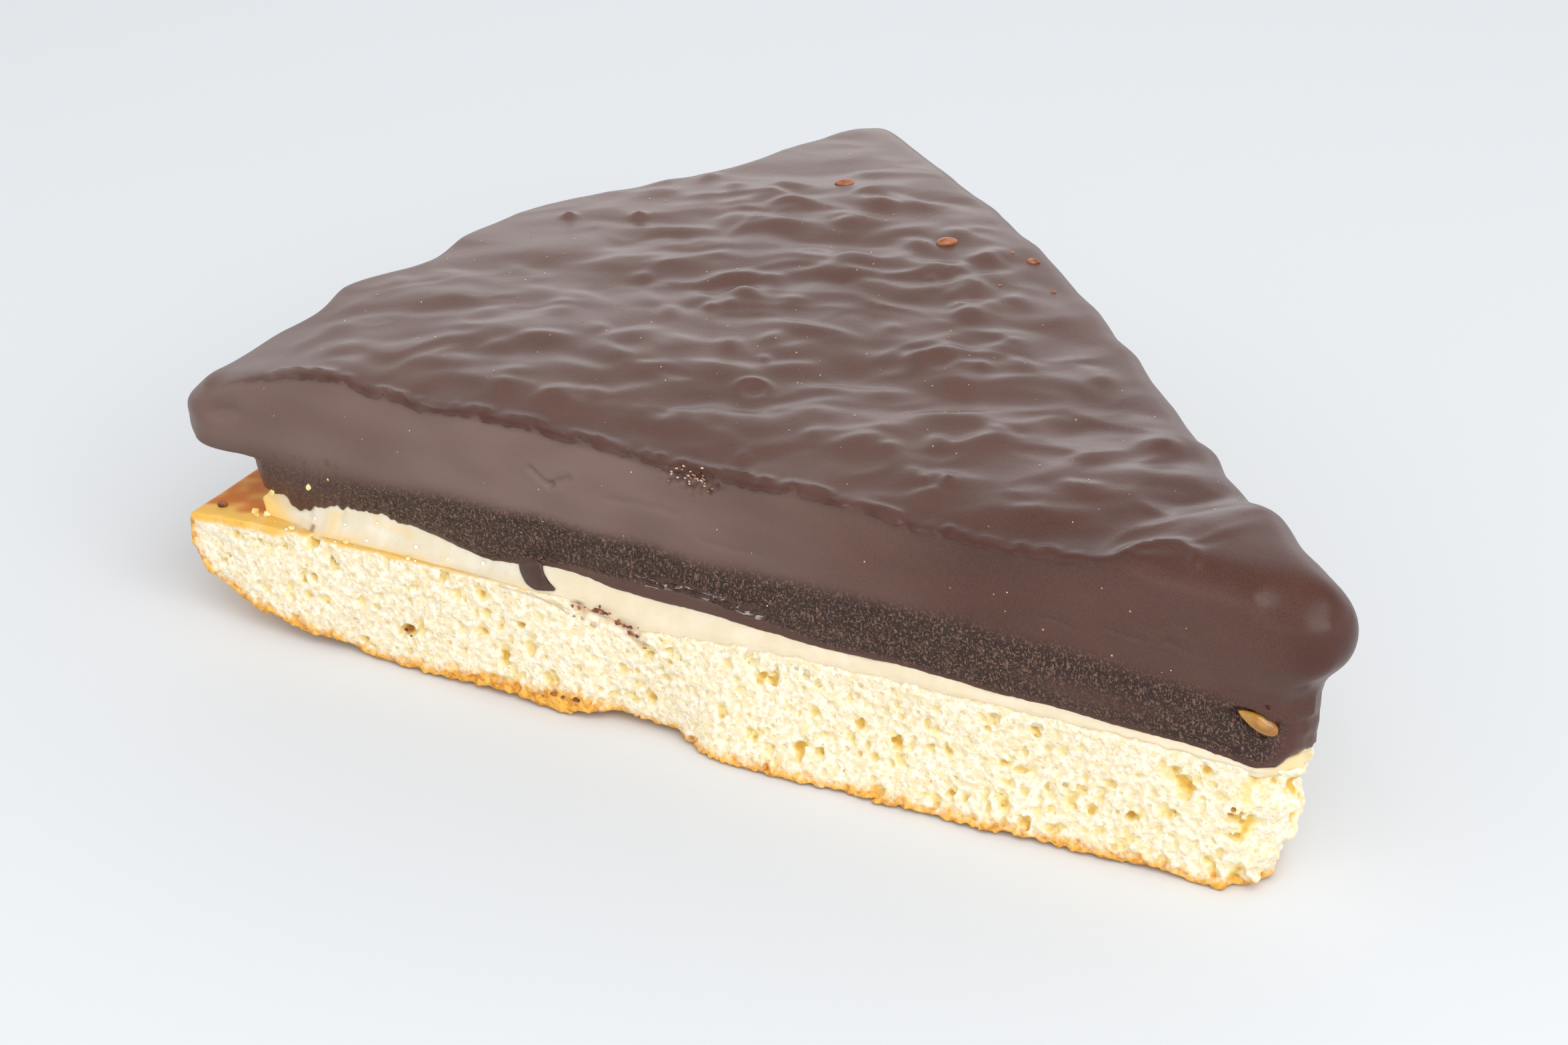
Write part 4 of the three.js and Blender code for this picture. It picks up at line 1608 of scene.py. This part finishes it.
    def porous(self, s: Array, z: Array) -> Array:
        """The weight of the porous patch under the near edge."""
        away = np.hypot((s - self.patch[0]) / 4.2, (z - self.patch[1]) / 1.9)
        away = away + 0.3 * waves(s / 1.1, z / 0.9, 58)
        return 1 - smoothstep(away, 0.6, 1.05)

    def wet(self, s: Array, z: Array) -> Array:
        """The weight of the glossy smear above the near lower edge."""
        away = np.abs(z - follow(s, self.smear)) + 0.3 * waves(s / 2.2, z / 1.5, 68)
        return smoothstep(s, 69.5, 72) * (1 - smoothstep(s, 85, 88.5)) * (1 - smoothstep(away, 0.65, 1.05))

    def grainy(self, reach: Array, h: Array) -> Array:
        """The weight of the grainy zone low on the near cut.

        Args:
            reach: Distance from the meeting point.
            h: Height on the side, 0 to 1.

        Returns:
            The weight, from 0 to 1.
        """
        z = self.level(reach, h)
        upper = lerp(23.4, 24.8, smoothstep(reach, 130, 100)) + 0.9 * bell(reach, 50, 12)
        upper = upper - 2.0 * bell(reach, 8, 8) + 0.5 * waves(reach / 9, 0.5, 59)
        strip = follow(reach, self.plain_strip)
        lower = self.level(reach, 0.0) + strip + 0.3 * waves(reach / 5, 0.5, 60)
        blot = 1 - 0.8 * np.exp(-(((reach - 31) / 7) ** 2 + ((z - 20) / 1.6) ** 2))
        weight = smoothstep(upper - z, -1.2, 1.6) * smoothstep(z - lower, -0.4, 0.5) * blot
        return weight * (1 - 0.6 * smoothstep(reach, 121, 133))

    def stand(self, reach: Array) -> Array:
        """How far the coating stands out of the far cut, near the top."""
        level = 0.7 * smoothstep(reach, 12, 50) + 0.45 * bell(reach, 90, 17)
        swell = follow(reach, self.far_swell) * smoothstep(reach, 16, 20)
        return self.back_bulge * level * (1 - smoothstep(reach, 110, 140)) + swell

    def back(self, reach: Array, h: Array) -> Array:
        """How far the coating on the far side stands out of its cut.

        Args:
            reach: Distance from the meeting point.
            h: Height on the side, 0 to 1.

        Returns:
            The distance.
        """
        beads = 0.45 * noise(reach / 5.5, h * 1.5, 19) * smoothstep(reach, 8, 20)
        waist = 0.45 + 0.55 * smoothstep(h, 0.2, 0.7)
        nose = self.swelling(reach, h) - self.rolled(h, self.roll(reach, Side.FAR))
        return self.stand(reach) * waist + beads * (1 - smoothstep(h, 0.85, 1)) + nose

    def bloom(self, s: Array, z: Array) -> Array:
        """The weight of the pale bloom on the near cut, strongest in its middle."""
        upright = 0.15 + 0.85 * smoothstep(z, 21, 27)
        return np.clip(follow(s, self.bloomed) * upright * (1 + 0.25 * waves(s / 9, z / 4, 67)), 0, 1)

    def tones(self, spots: Array, points: Array) -> Array:
        """Bloom (on the top a coat tone and a painted sheen), grain, lip (mostly painted shade) and wet
        weights for surface points.

        Args:
            spots: Their surface coordinates.
            points: The surface's points.

        Returns:
            The weights, one row for each point.
        """
        _, q, h = spots.T
        reach = np.hypot(points[:, 0], points[:, 1])
        z = points[:, 2]
        face = (q == 0).astype(float)
        inside = -out_of_cut(points[:, 0], points[:, 1], Side.NEAR) + 0.9 * waves(reach / 2.2, 0.5, 63)
        # on_top and the lip weight paint shade along the rolled near top edge, on the cut and in a band on
        # the top beside it.
        on_top = 0.5 * (1 - smoothstep(inside, 0.4, 4.0)) * (h > 0.99) * smoothstep(reach, 20, 34)
        lip = np.maximum(0.95 * face * self.lip(reach, h), on_top) * (0.6 + 0.4 * waves(reach / 2.4, 0.5, 61))
        rough = self.porous(reach, z) * (0.5 + 0.8 * waves(reach / 0.7, z / 0.6, 69))
        lip = np.maximum(lip, 1.1 * face * rough)
        # Painted shade on the nose's end.
        lip = np.maximum(lip, 0.6 * smoothstep(9.5 - reach, 0, 4) * smoothstep(h, 0.35, 0.5))
        cut = np.maximum(face, smoothstep(20 - reach, 0, 6) * (h < 1))
        # On the top the bloom weight is the coat tone, plus a painted sheen that grows towards the rim.
        coat = self.coat * smoothstep(reach, 20, 70) + 0.25 * smoothstep(reach, 100, 138)
        bloom = lerp(coat, self.bloom(reach, z), cut * (1 - smoothstep(h, 0.93, 1.0)))
        return np.stack([bloom, face * self.grainy(reach, h), lip, face * self.wet(reach, z)], -1)

    def build(self) -> list[bpy.types.Object]:
        """Makes the topping.

        Returns:
            The piece, alone in a list.
        """
        spots, faces = self.skin(rows=280, levels=np.linspace(0, 1, 37), cell=0.58, hidden_cell=6.0)
        points = self.place(*spots.T)
        tones = self.tones(spots, points)
        reach, upper = np.hypot(points[:, 0], points[:, 1]), smoothstep(spots[:, 2], 0.36, 0.5)
        points = relaxed(points, faces, 0.6 * smoothstep(21 - reach, 0, 9) * upper, 24)
        share = smoothstep(reach, 136, 141) * smoothstep(-spots[:, 1], -0.12, 0.0)
        points = relaxed(points, faces, 0.5 * share * smoothstep(spots[:, 2], 0.3, 0.5), 12)
        piece = make_piece("chocolate_topping_shell", points, faces, tones)
        return [settle(piece, ChocolateFinish().material(), "chocolate", "chocolate_topping")]


@dataclass
class CreamLayer(Layer):
    """The thin cream between sponge and chocolate, a sloping ledge at the rim end."""

    sponge: SpongeBase
    chocolate: ChocolateTopping
    rim_radius: float = 140.0
    tip_cut: float = 8.4
    tip_bow: float = 3.2
    ledge: float = 0.35

    def underside(self, x: Array, y: Array) -> Array:
        """The height of the underside, sunk a little into the sponge."""
        return self.sponge.top(x, y) - 0.4

    def top(self, x: Array, y: Array) -> Array:
        """The height of the top, sunk a little into the chocolate."""
        return self.chocolate.underside(x, y) + self.chocolate.hem(x, y) + 0.45

    def hem(self, x: Array, y: Array) -> Array:
        """How far the lower edge of the near side hangs down over the crumb.

        Args:
            x: Along X.
            y: Along Y.

        Returns:
            The distance.
        """
        along, depth = along_cut(x, y, Side.NEAR), np.maximum(0, -out_of_cut(x, y, Side.NEAR))
        ragged = 0.3 * waves(along / 2.3, 0.5, 77) + 0.3 * waves(along / 0.9, 0.5, 78)
        hang = lerp(0.3, 1.3, smoothstep(along, 15, 45))
        return (ragged - hang) * np.exp(-((depth / 2.0) ** 2)) * (1 - smoothstep(along, 94, 102))

    def rim(self, angle: Array, h: Array) -> Array:
        """The uneven radius at which the cream ends."""
        jagged = 0.7 * noise(angle * 26, 0.5, 21) + 0.6 * waves(angle * 160, h * 3, 71)
        return self.rim_radius - 1.0 * h + jagged

    def tip(self, q: Array, h: Array) -> Array:
        """How far from the meeting point the cream ends."""
        return self.tip_cut + self.tip_bow * (2 * q - 1) ** 2 + 0.4 * h

    def front(self, reach: Array, h: Array) -> Array:
        """How far the near side stands out of its cut, sloping back upwards.

        Args:
            reach: Distance from the meeting point.
            h: Height on the side, 0 to 1.

        Returns:
            The distance.
        """
        wobble = 0.12 * waves(reach / 4.5, h * 1.5, 72) + 0.06 * waves(reach / 1.3, h * 2.5, 73)
        hollow = 0.5 * np.sin(math.pi * h) * smoothstep(reach, 95, 120)
        full = 1 - smoothstep(reach, 94, 102)
        ledge = self.ledge * smoothstep(reach, 95, 125) + 2.0 * smoothstep(reach, 129, 138) - 0.22 * full
        slope = np.maximum(0.2, self.chocolate.foot(reach) + 0.3 - ledge)
        tuck = 0.62 * full * (1 - smoothstep(h, 0.0, 0.55))
        return -ledge - h * slope - hollow - tuck + wobble * np.sin(math.pi * np.clip(h, 0, 1))

    def back(self, reach: Array, h: Array) -> Array:
        """How far the far side stands out of its cut."""
        return -0.2 - 0.3 * h + 0.08 * waves(reach / 3, h * 2, 74)

    def tones(self, spots: Array, points: Array) -> Array:
        """Peach, stain and gold weights for points of the surface.

        Args:
            spots: Their surface coordinates.
            points: The surface's points.

        Returns:
            The weights, one row for each point.
        """
        _, q, h = spots.T
        reach = np.hypot(points[:, 0], points[:, 1])
        peach = (1 - smoothstep(h + 0.12 * waves(reach / 6, 0.5, 75), 0.02, 0.5)) * smoothstep(reach, 20, 70)
        peach = np.maximum(0.7 * peach, 0.3 * (1 - smoothstep(reach, 92, 106)))
        ragged = 0.5 * waves(reach / 1.4, h * 3, 76)
        gold = smoothstep(reach + ragged - 3.0 * h, 133, 138)
        gold = gold + 0.6 * (1 - smoothstep(h + 0.1 * ragged, 0.1, 0.22))
        gold = gold * smoothstep(reach, 92, 110) + 0.5 * (1 - smoothstep(reach + ragged, 9, 12.5))
        mottled = smoothstep(waves(reach / 2.6, h * 2.2, 79), 0.1, 0.8) * smoothstep(reach, 104, 124)
        gold = np.maximum(gold, 0.45 * mottled)
        speck = bell(reach, 131.5, 0.35) + bell(reach, 94.6, 0.6)
        stain = (q == 0) * speck * (h < 0.3) * 0.7
        return np.stack([peach, stain, gold, np.zeros_like(h)], -1)

    def build(self) -> list[bpy.types.Object]:
        """Makes the cream.

        Returns:
            The piece, alone in a list.
        """
        spots, faces = self.skin(rows=260, levels=np.linspace(0, 1, 10), cell=1.6, hidden_cell=8.0)
        points = self.place(*spots.T)
        piece = make_piece("cream_layer_shell", points, faces, self.tones(spots, points))
        return [settle(piece, CreamFinish().material(), "cream", "cream_layer")]


# Small pieces


class Lumps:
    """Uneven little lumps, gathered as one mesh of closed balls."""

    def __init__(self, seed: int, detail: int = 2) -> None:
        """Starts with no lumps, a plain ball and a source of random numbers.

        Args:
            seed: The seed of its random numbers.
            detail: How often the ball is divided.
        """
        self.rng = np.random.default_rng(seed)
        ball = bmesh.new()
        bmesh.ops.create_icosphere(ball, subdivisions=detail, radius=1.0)
        self.ball = np.array([v.co[:] for v in ball.verts])
        self.triangles = np.array([[v.index for v in f.verts] for f in ball.faces])
        ball.free()
        self.points: list[Array] = []
        self.faces: list[Array] = []

    def add(self, at: Array, radii: Sequence[float], rough: float = 0.2,
            axes: Optional[Array] = None) -> None:
        """Adds a lump.

        Args:
            at: Its middle.
            radii: Its half-sizes.
            rough: How bumpy it is.
            axes: The directions of its half-sizes, turned at random about Z if they aren't given.
        """
        turn = self.rng.uniform(0, 2 * math.pi)
        if axes is None:
            ct, st = math.cos(turn), math.sin(turn)
            axes = np.array([[ct, st, 0], [-st, ct, 0], [0, 0, 1]])
        bumps = sum(np.cos(self.ball @ self.rng.normal(0, 2.2, 3) + self.rng.uniform(0, 6)) for _ in range(4))
        shape = self.ball * (1 + rough * bumps / 4)[:, None] * np.asarray(radii)
        self.faces.append(self.triangles + sum(map(len, self.points)))
        self.points.append(shape @ axes + at)

    def piece(self, name: str, material: bpy.types.Material, slot: str, node: str) -> bpy.types.Object:
        """Makes the lumps into one object that belongs to a node."""
        made = make_piece(name, np.concatenate(self.points), np.concatenate(self.faces))
        return settle(made, material, slot, node)


def on_top(layer: Layer, x: float, y: float, out: float) -> Array:
    """The point on a layer's top at a place, raised by out."""
    return np.array([x, y, float(layer.top(np.array(x), np.array(y))) + out])


def by_near_edge(layer: Layer, along: float, inward: float, out: float) -> Array:
    """The point on a layer's top at a distance along the near cut and in from it, raised by out."""
    x, y, _ = on_cut(Side.NEAR, along, 0.0, -inward)
    return on_top(layer, x, y, out)


NEAR_AXES = np.array([[-COS, -SIN, 0], [SIN, -COS, 0], [0, 0, 1]])  # along the near cut, out of it and up


@dataclass
class NutBits:
    """Reddish-brown bits of nut that stand out of the top."""

    chocolate: ChocolateTopping
    places: tuple[tuple[float, ...], ...] = (
        # reach, angle, half-length and turn
        (124.8, 15.5, 1.25, 0.1), (101.6, 17.1, 1.35, 0.35), (94.2, 22.0, 0.85, 0.0), (96.6, 20.9, 0.3, 0.0),
        (85.7, 21.5, 0.4, 0.2), (88.0, 17.5, 0.25, 0.0),
    )

    def build(self) -> bpy.types.Object:
        """Makes the bits.

        Returns:
            The piece.
        """
        lumps = Lumps(seed=31, detail=4)
        for reach, degrees, size, lean in self.places:
            ct, st = (f(self.chocolate.ripple_turn + lean) for f in (math.cos, math.sin))
            axes = np.array([[ct, st, 0], [-st, ct, 0], [0, 0, 1]])
            place = on_top(self.chocolate, *from_middle(reach, degrees), 0.05 * size)
            lumps.add(place, (size, 0.7 * size, 0.42 * size), 0.2, axes)
        finish = GrainFinish("nut", 0x85492C, 0xA8683F)
        return lumps.piece("nut_bits", finish.material(), "chocolate", "chocolate_topping")


@dataclass
class Specks:
    """Tiny pale specks on the top and on the near cut of the topping."""

    chocolate: ChocolateTopping
    on_top: int = 190
    on_cut: int = 38
    in_patch: int = 34

    def build(self) -> bpy.types.Object:
        """Makes the specks.

        Returns:
            The piece.
        """
        lumps = Lumps(seed=32)
        rng = lumps.rng
        for _ in range(self.on_top):
            size = rng.uniform(0.035, 0.1)
            reach, degrees = 20 + 118 * math.sqrt(rng.random()), rng.uniform(-20, 20)
            place = on_top(self.chocolate, *from_middle(reach, degrees), 0.3 * size)
            lumps.add(place, (size, size, size))
        for _ in range(self.on_cut):
            size = rng.uniform(0.05, 0.11)
            lumps.add(self.chocolate.on_near(rng.uniform(16, 138), rng.uniform(19, 34)), (size, size, size))
        for _ in range(self.in_patch):
            size = rng.uniform(0.07, 0.15)
            s, z = rng.normal(self.chocolate.patch, (2.0, 0.7))
            lumps.add(self.chocolate.on_near(s, z, 0.1), (1.4 * size, size, 0.7 * size), 0.3, NEAR_AXES)
        finish = GrainFinish("speck", 0xB4805F, 0xDCC2AE)
        return lumps.piece("pale_specks", finish.material(), "chocolate", "chocolate_topping")


@dataclass
class SugarGrains:
    """White sugar grains and crumbs strewn along the rim end's ledge."""

    sponge: SpongeBase
    cream: CreamLayer
    places: tuple[tuple[float, float, float], ...] = (
        # on the near side: distance along it, height and half-size
        (122.8, 17.6, 0.2), (123.6, 15.6, 0.2), (117.0, 16.2, 0.28), (108.0, 16.1, 0.26), (131.5, 16.2, 0.18),
        (127.0, 16.6, 0.2), (112.5, 15.8, 0.16), (119.5, 16.6, 0.14), (104.5, 15.9, 0.14),
    )
    on_edge: int = 14

    def build(self) -> bpy.types.Object:
        """Makes the grains.

        Returns:
            The piece.
        """
        lumps = Lumps(seed=33)
        rng = lumps.rng
        for along, height, size in self.places:
            lumps.add(self.cream.on_near(along, height, 0.3 * size), (size, size, size), 0.35)
        for _ in range(self.on_edge):
            size, along = rng.uniform(0.08, 0.2), rng.uniform(110, 144)
            place = by_near_edge(self.sponge, along, rng.uniform(0.1, 1.6), 0.2 * size)
            lumps.add(place, (size, size, 0.8 * size), 0.35)
        finish = GrainFinish("sugar", 0xF4EAD2, 0xFFFBF0, 0.35, 0.4)
        return lumps.piece("sugar_grains", finish.material(), "crumb", "sponge_base")


@dataclass
class LooseCrumbs:
    """Yellow crumbs that stick to the topping's foot and to the glazed ledge."""

    sponge: SpongeBase
    chocolate: ChocolateTopping
    on_foot: tuple[tuple[float, float, float], ...] = (
        # on the near side of the topping: distance along it, height and half-size
        (131.7, 20.6, 0.42), (128.5, 22.6, 0.16), (137.5, 18.2, 0.3),
    )
    on_ledge: tuple[tuple[float, float], ...] = (
        # on the sponge: distance along the near cut and in from it
        (139.6, 1.8), (138.6, 2.4), (140.4, 2.6), (134.0, 0.9), (126.2, 0.5), (117.4, 0.4),
    )

    def build(self) -> bpy.types.Object:
        """Makes the crumbs.

        Returns:
            The piece.
        """
        lumps = Lumps(seed=34, detail=3)
        rng = lumps.rng
        for along, height, size in self.on_foot:
            lumps.add(self.chocolate.on_near(along, height, 0.4 * size), (size, 0.8 * size, 1.1 * size), 0.5)
        for along, inward in self.on_ledge:
            size = rng.uniform(0.25, 0.5)
            place = by_near_edge(self.sponge, along, inward, 0.3 * size)
            lumps.add(place, (size, size, 0.8 * size), 0.5)
        finish = GrainFinish("loose_crumb", 0xE9C772, 0xF6E4B0, 0.7, 0.5)
        return lumps.piece("loose_crumbs", finish.material(), "crumb", "sponge_base")


@dataclass
class CharredBits:
    """Dark brown bits where cream and crumb meet, and a black drop on the crust."""

    sponge: SpongeBase
    places: tuple[tuple[float, float, float], ...] = (
        # on the near cut: distance along it, height and half-size
        (95.2, 14.6, 0.2), (94.3, 14.7, 0.26), (93.4, 14.8, 0.16), (91.8, 14.8, 0.4), (91.5, 15.1, 0.3),
        (90.9, 14.7, 0.34), (90.2, 14.7, 0.18), (89.0, 14.1, 0.36), (88.0, 13.8, 0.3), (87.6, 13.6, 0.3),
        (87.2, 13.0, 0.32), (86.5, 12.9, 0.24), (86.3, 14.1, 0.13), (85.5, 11.6, 0.15), (117.9, 5.6, 0.25),
        (117.3, 5.0, 0.16), (97.5, 2.6, 0.3), (96.2, 2.4, 0.2), (94.6, 2.6, 0.36), (99.0, 1.9, 0.16),
    )
    drop: tuple[float, float] = (145.2, 2.6)  # along the near cut and in from it

    def build(self) -> bpy.types.Object:
        """Makes the bits.

        Returns:
            The piece.
        """
        lumps = Lumps(seed=35, detail=3)
        for along, height, size in self.places:
            place = self.sponge.on_near(along, height, 0.05)
            for _ in range(3):
                aside = np.append(lumps.rng.normal(0, 0.5 * size, 2), 0) @ NEAR_AXES[[0, 2, 1]]
                radii = size * lumps.rng.uniform((0.5, 0.15, 0.3), (1.1, 0.3, 0.7))
                lumps.add(place + aside, radii, 0.9, NEAR_AXES)
        lumps.add(by_near_edge(self.sponge, *self.drop, 0.2), (0.7, 0.55, 0.5), 0.1)
        finish = GrainFinish("charred", 0x5A2C12, 0xA8642C, 0.6, 0.0)
        return lumps.piece("charred_bits", finish.material(), "crumb", "sponge_base")


@dataclass
class FruitDrop:
    """An amber drop of candied fruit, set in the near cut by the tip."""

    chocolate: ChocolateTopping
    along: float = 11.9
    height: float = 21.9
    radii: tuple[float, float, float] = (2.4, 0.9, 1.2)
    tilt: float = 0.33

    def build(self) -> bpy.types.Object:
        """Makes the drop, pointed towards the rim.

        Returns:
            The piece.
        """
        lumps = Lumps(seed=36, detail=5)
        point = (lumps.ball[:, :1] + 1) / 2
        lumps.ball = lumps.ball * np.concatenate([np.ones_like(point), *[1 - 0.55 * point**1.5] * 2], 1)
        ct, st = math.cos(self.tilt), math.sin(self.tilt)
        axes = np.array([[ct, 0, st], [0, 1, 0], [-st, 0, ct]]) @ NEAR_AXES
        place = self.chocolate.on_near(self.along, self.height, 0.75)
        lumps.add(place, self.radii, 0.03, axes)
        return lumps.piece("fruit_drop", FruitFinish().material(), "chocolate", "chocolate_topping")


@dataclass
class HookedDrip:
    """A claw-shaped drip of chocolate over the cream."""

    cream: CreamLayer
    thickness: float = 0.8
    path: tuple[tuple[float, float, float], ...] = (
        # on the near side: distance along it, height and width, from the root to the point
        (102.3, 18.9, 3.6), (102.0, 18.1, 3.5), (101.6, 17.3, 3.1), (100.8, 16.6, 2.5), (99.9, 16.15, 1.8),
        (98.8, 15.9, 1.0), (97.7, 15.75, 0.25),
    )
    rings: int = 40
    sides: int = 20

    def build(self) -> bpy.types.Object:
        """Makes the drip.

        Returns:
            The piece.
        """
        rings, marks = np.linspace(0, 1, self.rings), np.linspace(0, 1, len(self.path))
        along, height, width = (np.interp(rings, marks, column) for column in zip(*self.path))
        smooth = np.array([0.25, 0.5, 0.25])
        for _ in range(6):
            along[1:-1] = np.convolve(along, smooth, "valid")
            height[1:-1] = np.convolve(height, smooth, "valid")
        step_s, step_z = np.gradient(along), np.gradient(height)
        length = np.hypot(step_s, step_z)
        turn = np.linspace(0, 2 * math.pi, self.sides, endpoint=False)
        across = np.cos(turn) * width[:, None] / 2
        s = along[:, None] + across * (step_z / length)[:, None]
        z = height[:, None] - across * (step_s / length)[:, None]
        thick = self.thickness * np.sqrt(np.clip(width / 3.6, 0.05, 1))[:, None] * np.sin(turn)
        points = self.cream.on_near(s, z, 0.1 + 0.6 * thick).reshape(-1, 3)
        ends = self.cream.on_near(along[[0, -1]], height[[0, -1]], 0.1)
        rows = np.arange(self.rings * self.sides).reshape(self.rings, self.sides)
        following = np.roll(rows, -1, axis=1)
        quads = [rows[:-1], following[:-1], following[1:], rows[1:]]
        body = np.stack([q.ravel() for q in quads], -1).tolist()
        first, last = len(points), len(points) + 1
        caps = [[first, b, a] for a, b in zip(rows[0], following[0])]
        caps += [[last, a, b] for a, b in zip(rows[-1], following[-1])]
        faces = body + [[int(i) for i in cap] for cap in caps]
        piece = make_piece("hooked_drip", np.concatenate([points, ends]), faces)
        return settle(piece, GrainFinish("drip", 0x3E2419, 0x472B1F, 0.35, 0.0).material(), "chocolate",
                      "chocolate_topping")


# The studio


@dataclass
class Studio:
    """A pale floor, soft light and the camera."""

    floor_size: float = 6.0
    camera_at: tuple[float, float, float] = (0.28685, -0.25767, 0.2220)
    looking_at: tuple[float, float, float] = (-0.03175, 0.01253, 0.0006)
    lens: float = 85.0
    low_glow: float = 1.56
    high_glow: float = 0.46

    def build(self) -> None:
        """Sets up the floor, the lights, the surroundings and the camera."""
        self.floor()
        self.light("overhead_softbox", (0.5, -0.22, 0.62), 0.8, 5.2)
        self.light("far_softbox", (-0.8, 0.65, 0.2), 0.45, 0.52)
        self.surroundings()
        self.camera()

    def floor(self) -> None:
        """Lays the floor."""
        half = self.floor_size / 2
        mesh = bpy.data.meshes.new("pale_floor")
        corners = [(-half, -half, 0), (half, -half, 0), (half, half, 0), (-half, half, 0)]
        mesh.from_pydata(corners, [], [(0, 1, 2, 3)])
        plane = bpy.data.objects.new("pale_floor", mesh)
        bpy.context.scene.collection.objects.link(plane)
        mesh.materials.append(PaperFinish().material())

    def light(self, name: str, at: tuple[float, float, float], size: float, power: float) -> None:
        """Hangs a soft light that faces the slice.

        Args:
            name: Its name.
            at: Its place, in metres.
            size: Its width, in metres.
            power: Its power, in watts.
        """
        data = bpy.data.lights.new(name, "AREA")
        data.size = size
        data.energy = power
        lamp = bpy.data.objects.new(name, data)
        lamp.location = at
        lamp.rotation_euler = (Vector((0, 0, 0)) - Vector(at)).to_track_quat("-Z", "Y").to_euler()
        bpy.context.scene.collection.objects.link(lamp)

    def surroundings(self) -> None:
        """Fills the room with pale light, brightest low down."""
        world = bpy.data.worlds.new("pale_room")
        world.use_nodes = True
        tree = world.node_tree
        split = tree.nodes.new("ShaderNodeSeparateXYZ")
        tree.links.new(tree.nodes.new("ShaderNodeTexCoord").outputs["Generated"], split.inputs[0])
        fade = tree.nodes.new("ShaderNodeMapRange")
        tree.links.new(split.outputs["Z"], fade.inputs["Value"])
        for name, strength in (("To Min", self.low_glow), ("To Max", self.high_glow)):
            fade.inputs[name].default_value = strength
        back = tree.nodes["Background"]
        back.inputs["Color"].default_value = (0.955, 0.975, 1.0, 1.0)
        tree.links.new(fade.outputs["Result"], back.inputs["Strength"])
        bpy.context.scene.world = world
        bpy.context.scene.view_settings.view_transform = "Standard"

    def camera(self) -> None:
        """Sets the camera."""
        data = bpy.data.cameras.new("view")
        data.lens = self.lens
        data.sensor_width = 36.0
        data.clip_start = 0.01
        camera = bpy.data.objects.new("view", data)
        camera.location = self.camera_at
        direction = Vector(self.looking_at) - Vector(self.camera_at)
        camera.rotation_euler = direction.to_track_quat("-Z", "Y").to_euler()
        bpy.context.scene.collection.objects.link(camera)
        bpy.context.scene.camera = camera


def main() -> None:
    """Builds the slice, layer by layer, and the studio round it."""
    logging.basicConfig(level=logging.INFO, format="%(name)s: %(message)s")
    sponge = SpongeBase()
    chocolate = ChocolateTopping()
    cream = CreamLayer(sponge, chocolate)
    for layer in (sponge, cream, chocolate):
        layer.build()
    NutBits(chocolate).build()
    Specks(chocolate).build()
    SugarGrains(sponge, cream).build()
    LooseCrumbs(sponge, chocolate).build()
    CharredBits(sponge).build()
    FruitDrop(chocolate).build()
    HookedDrip(cream).build()
    Studio().build()


if __name__ == "__main__":
    main()
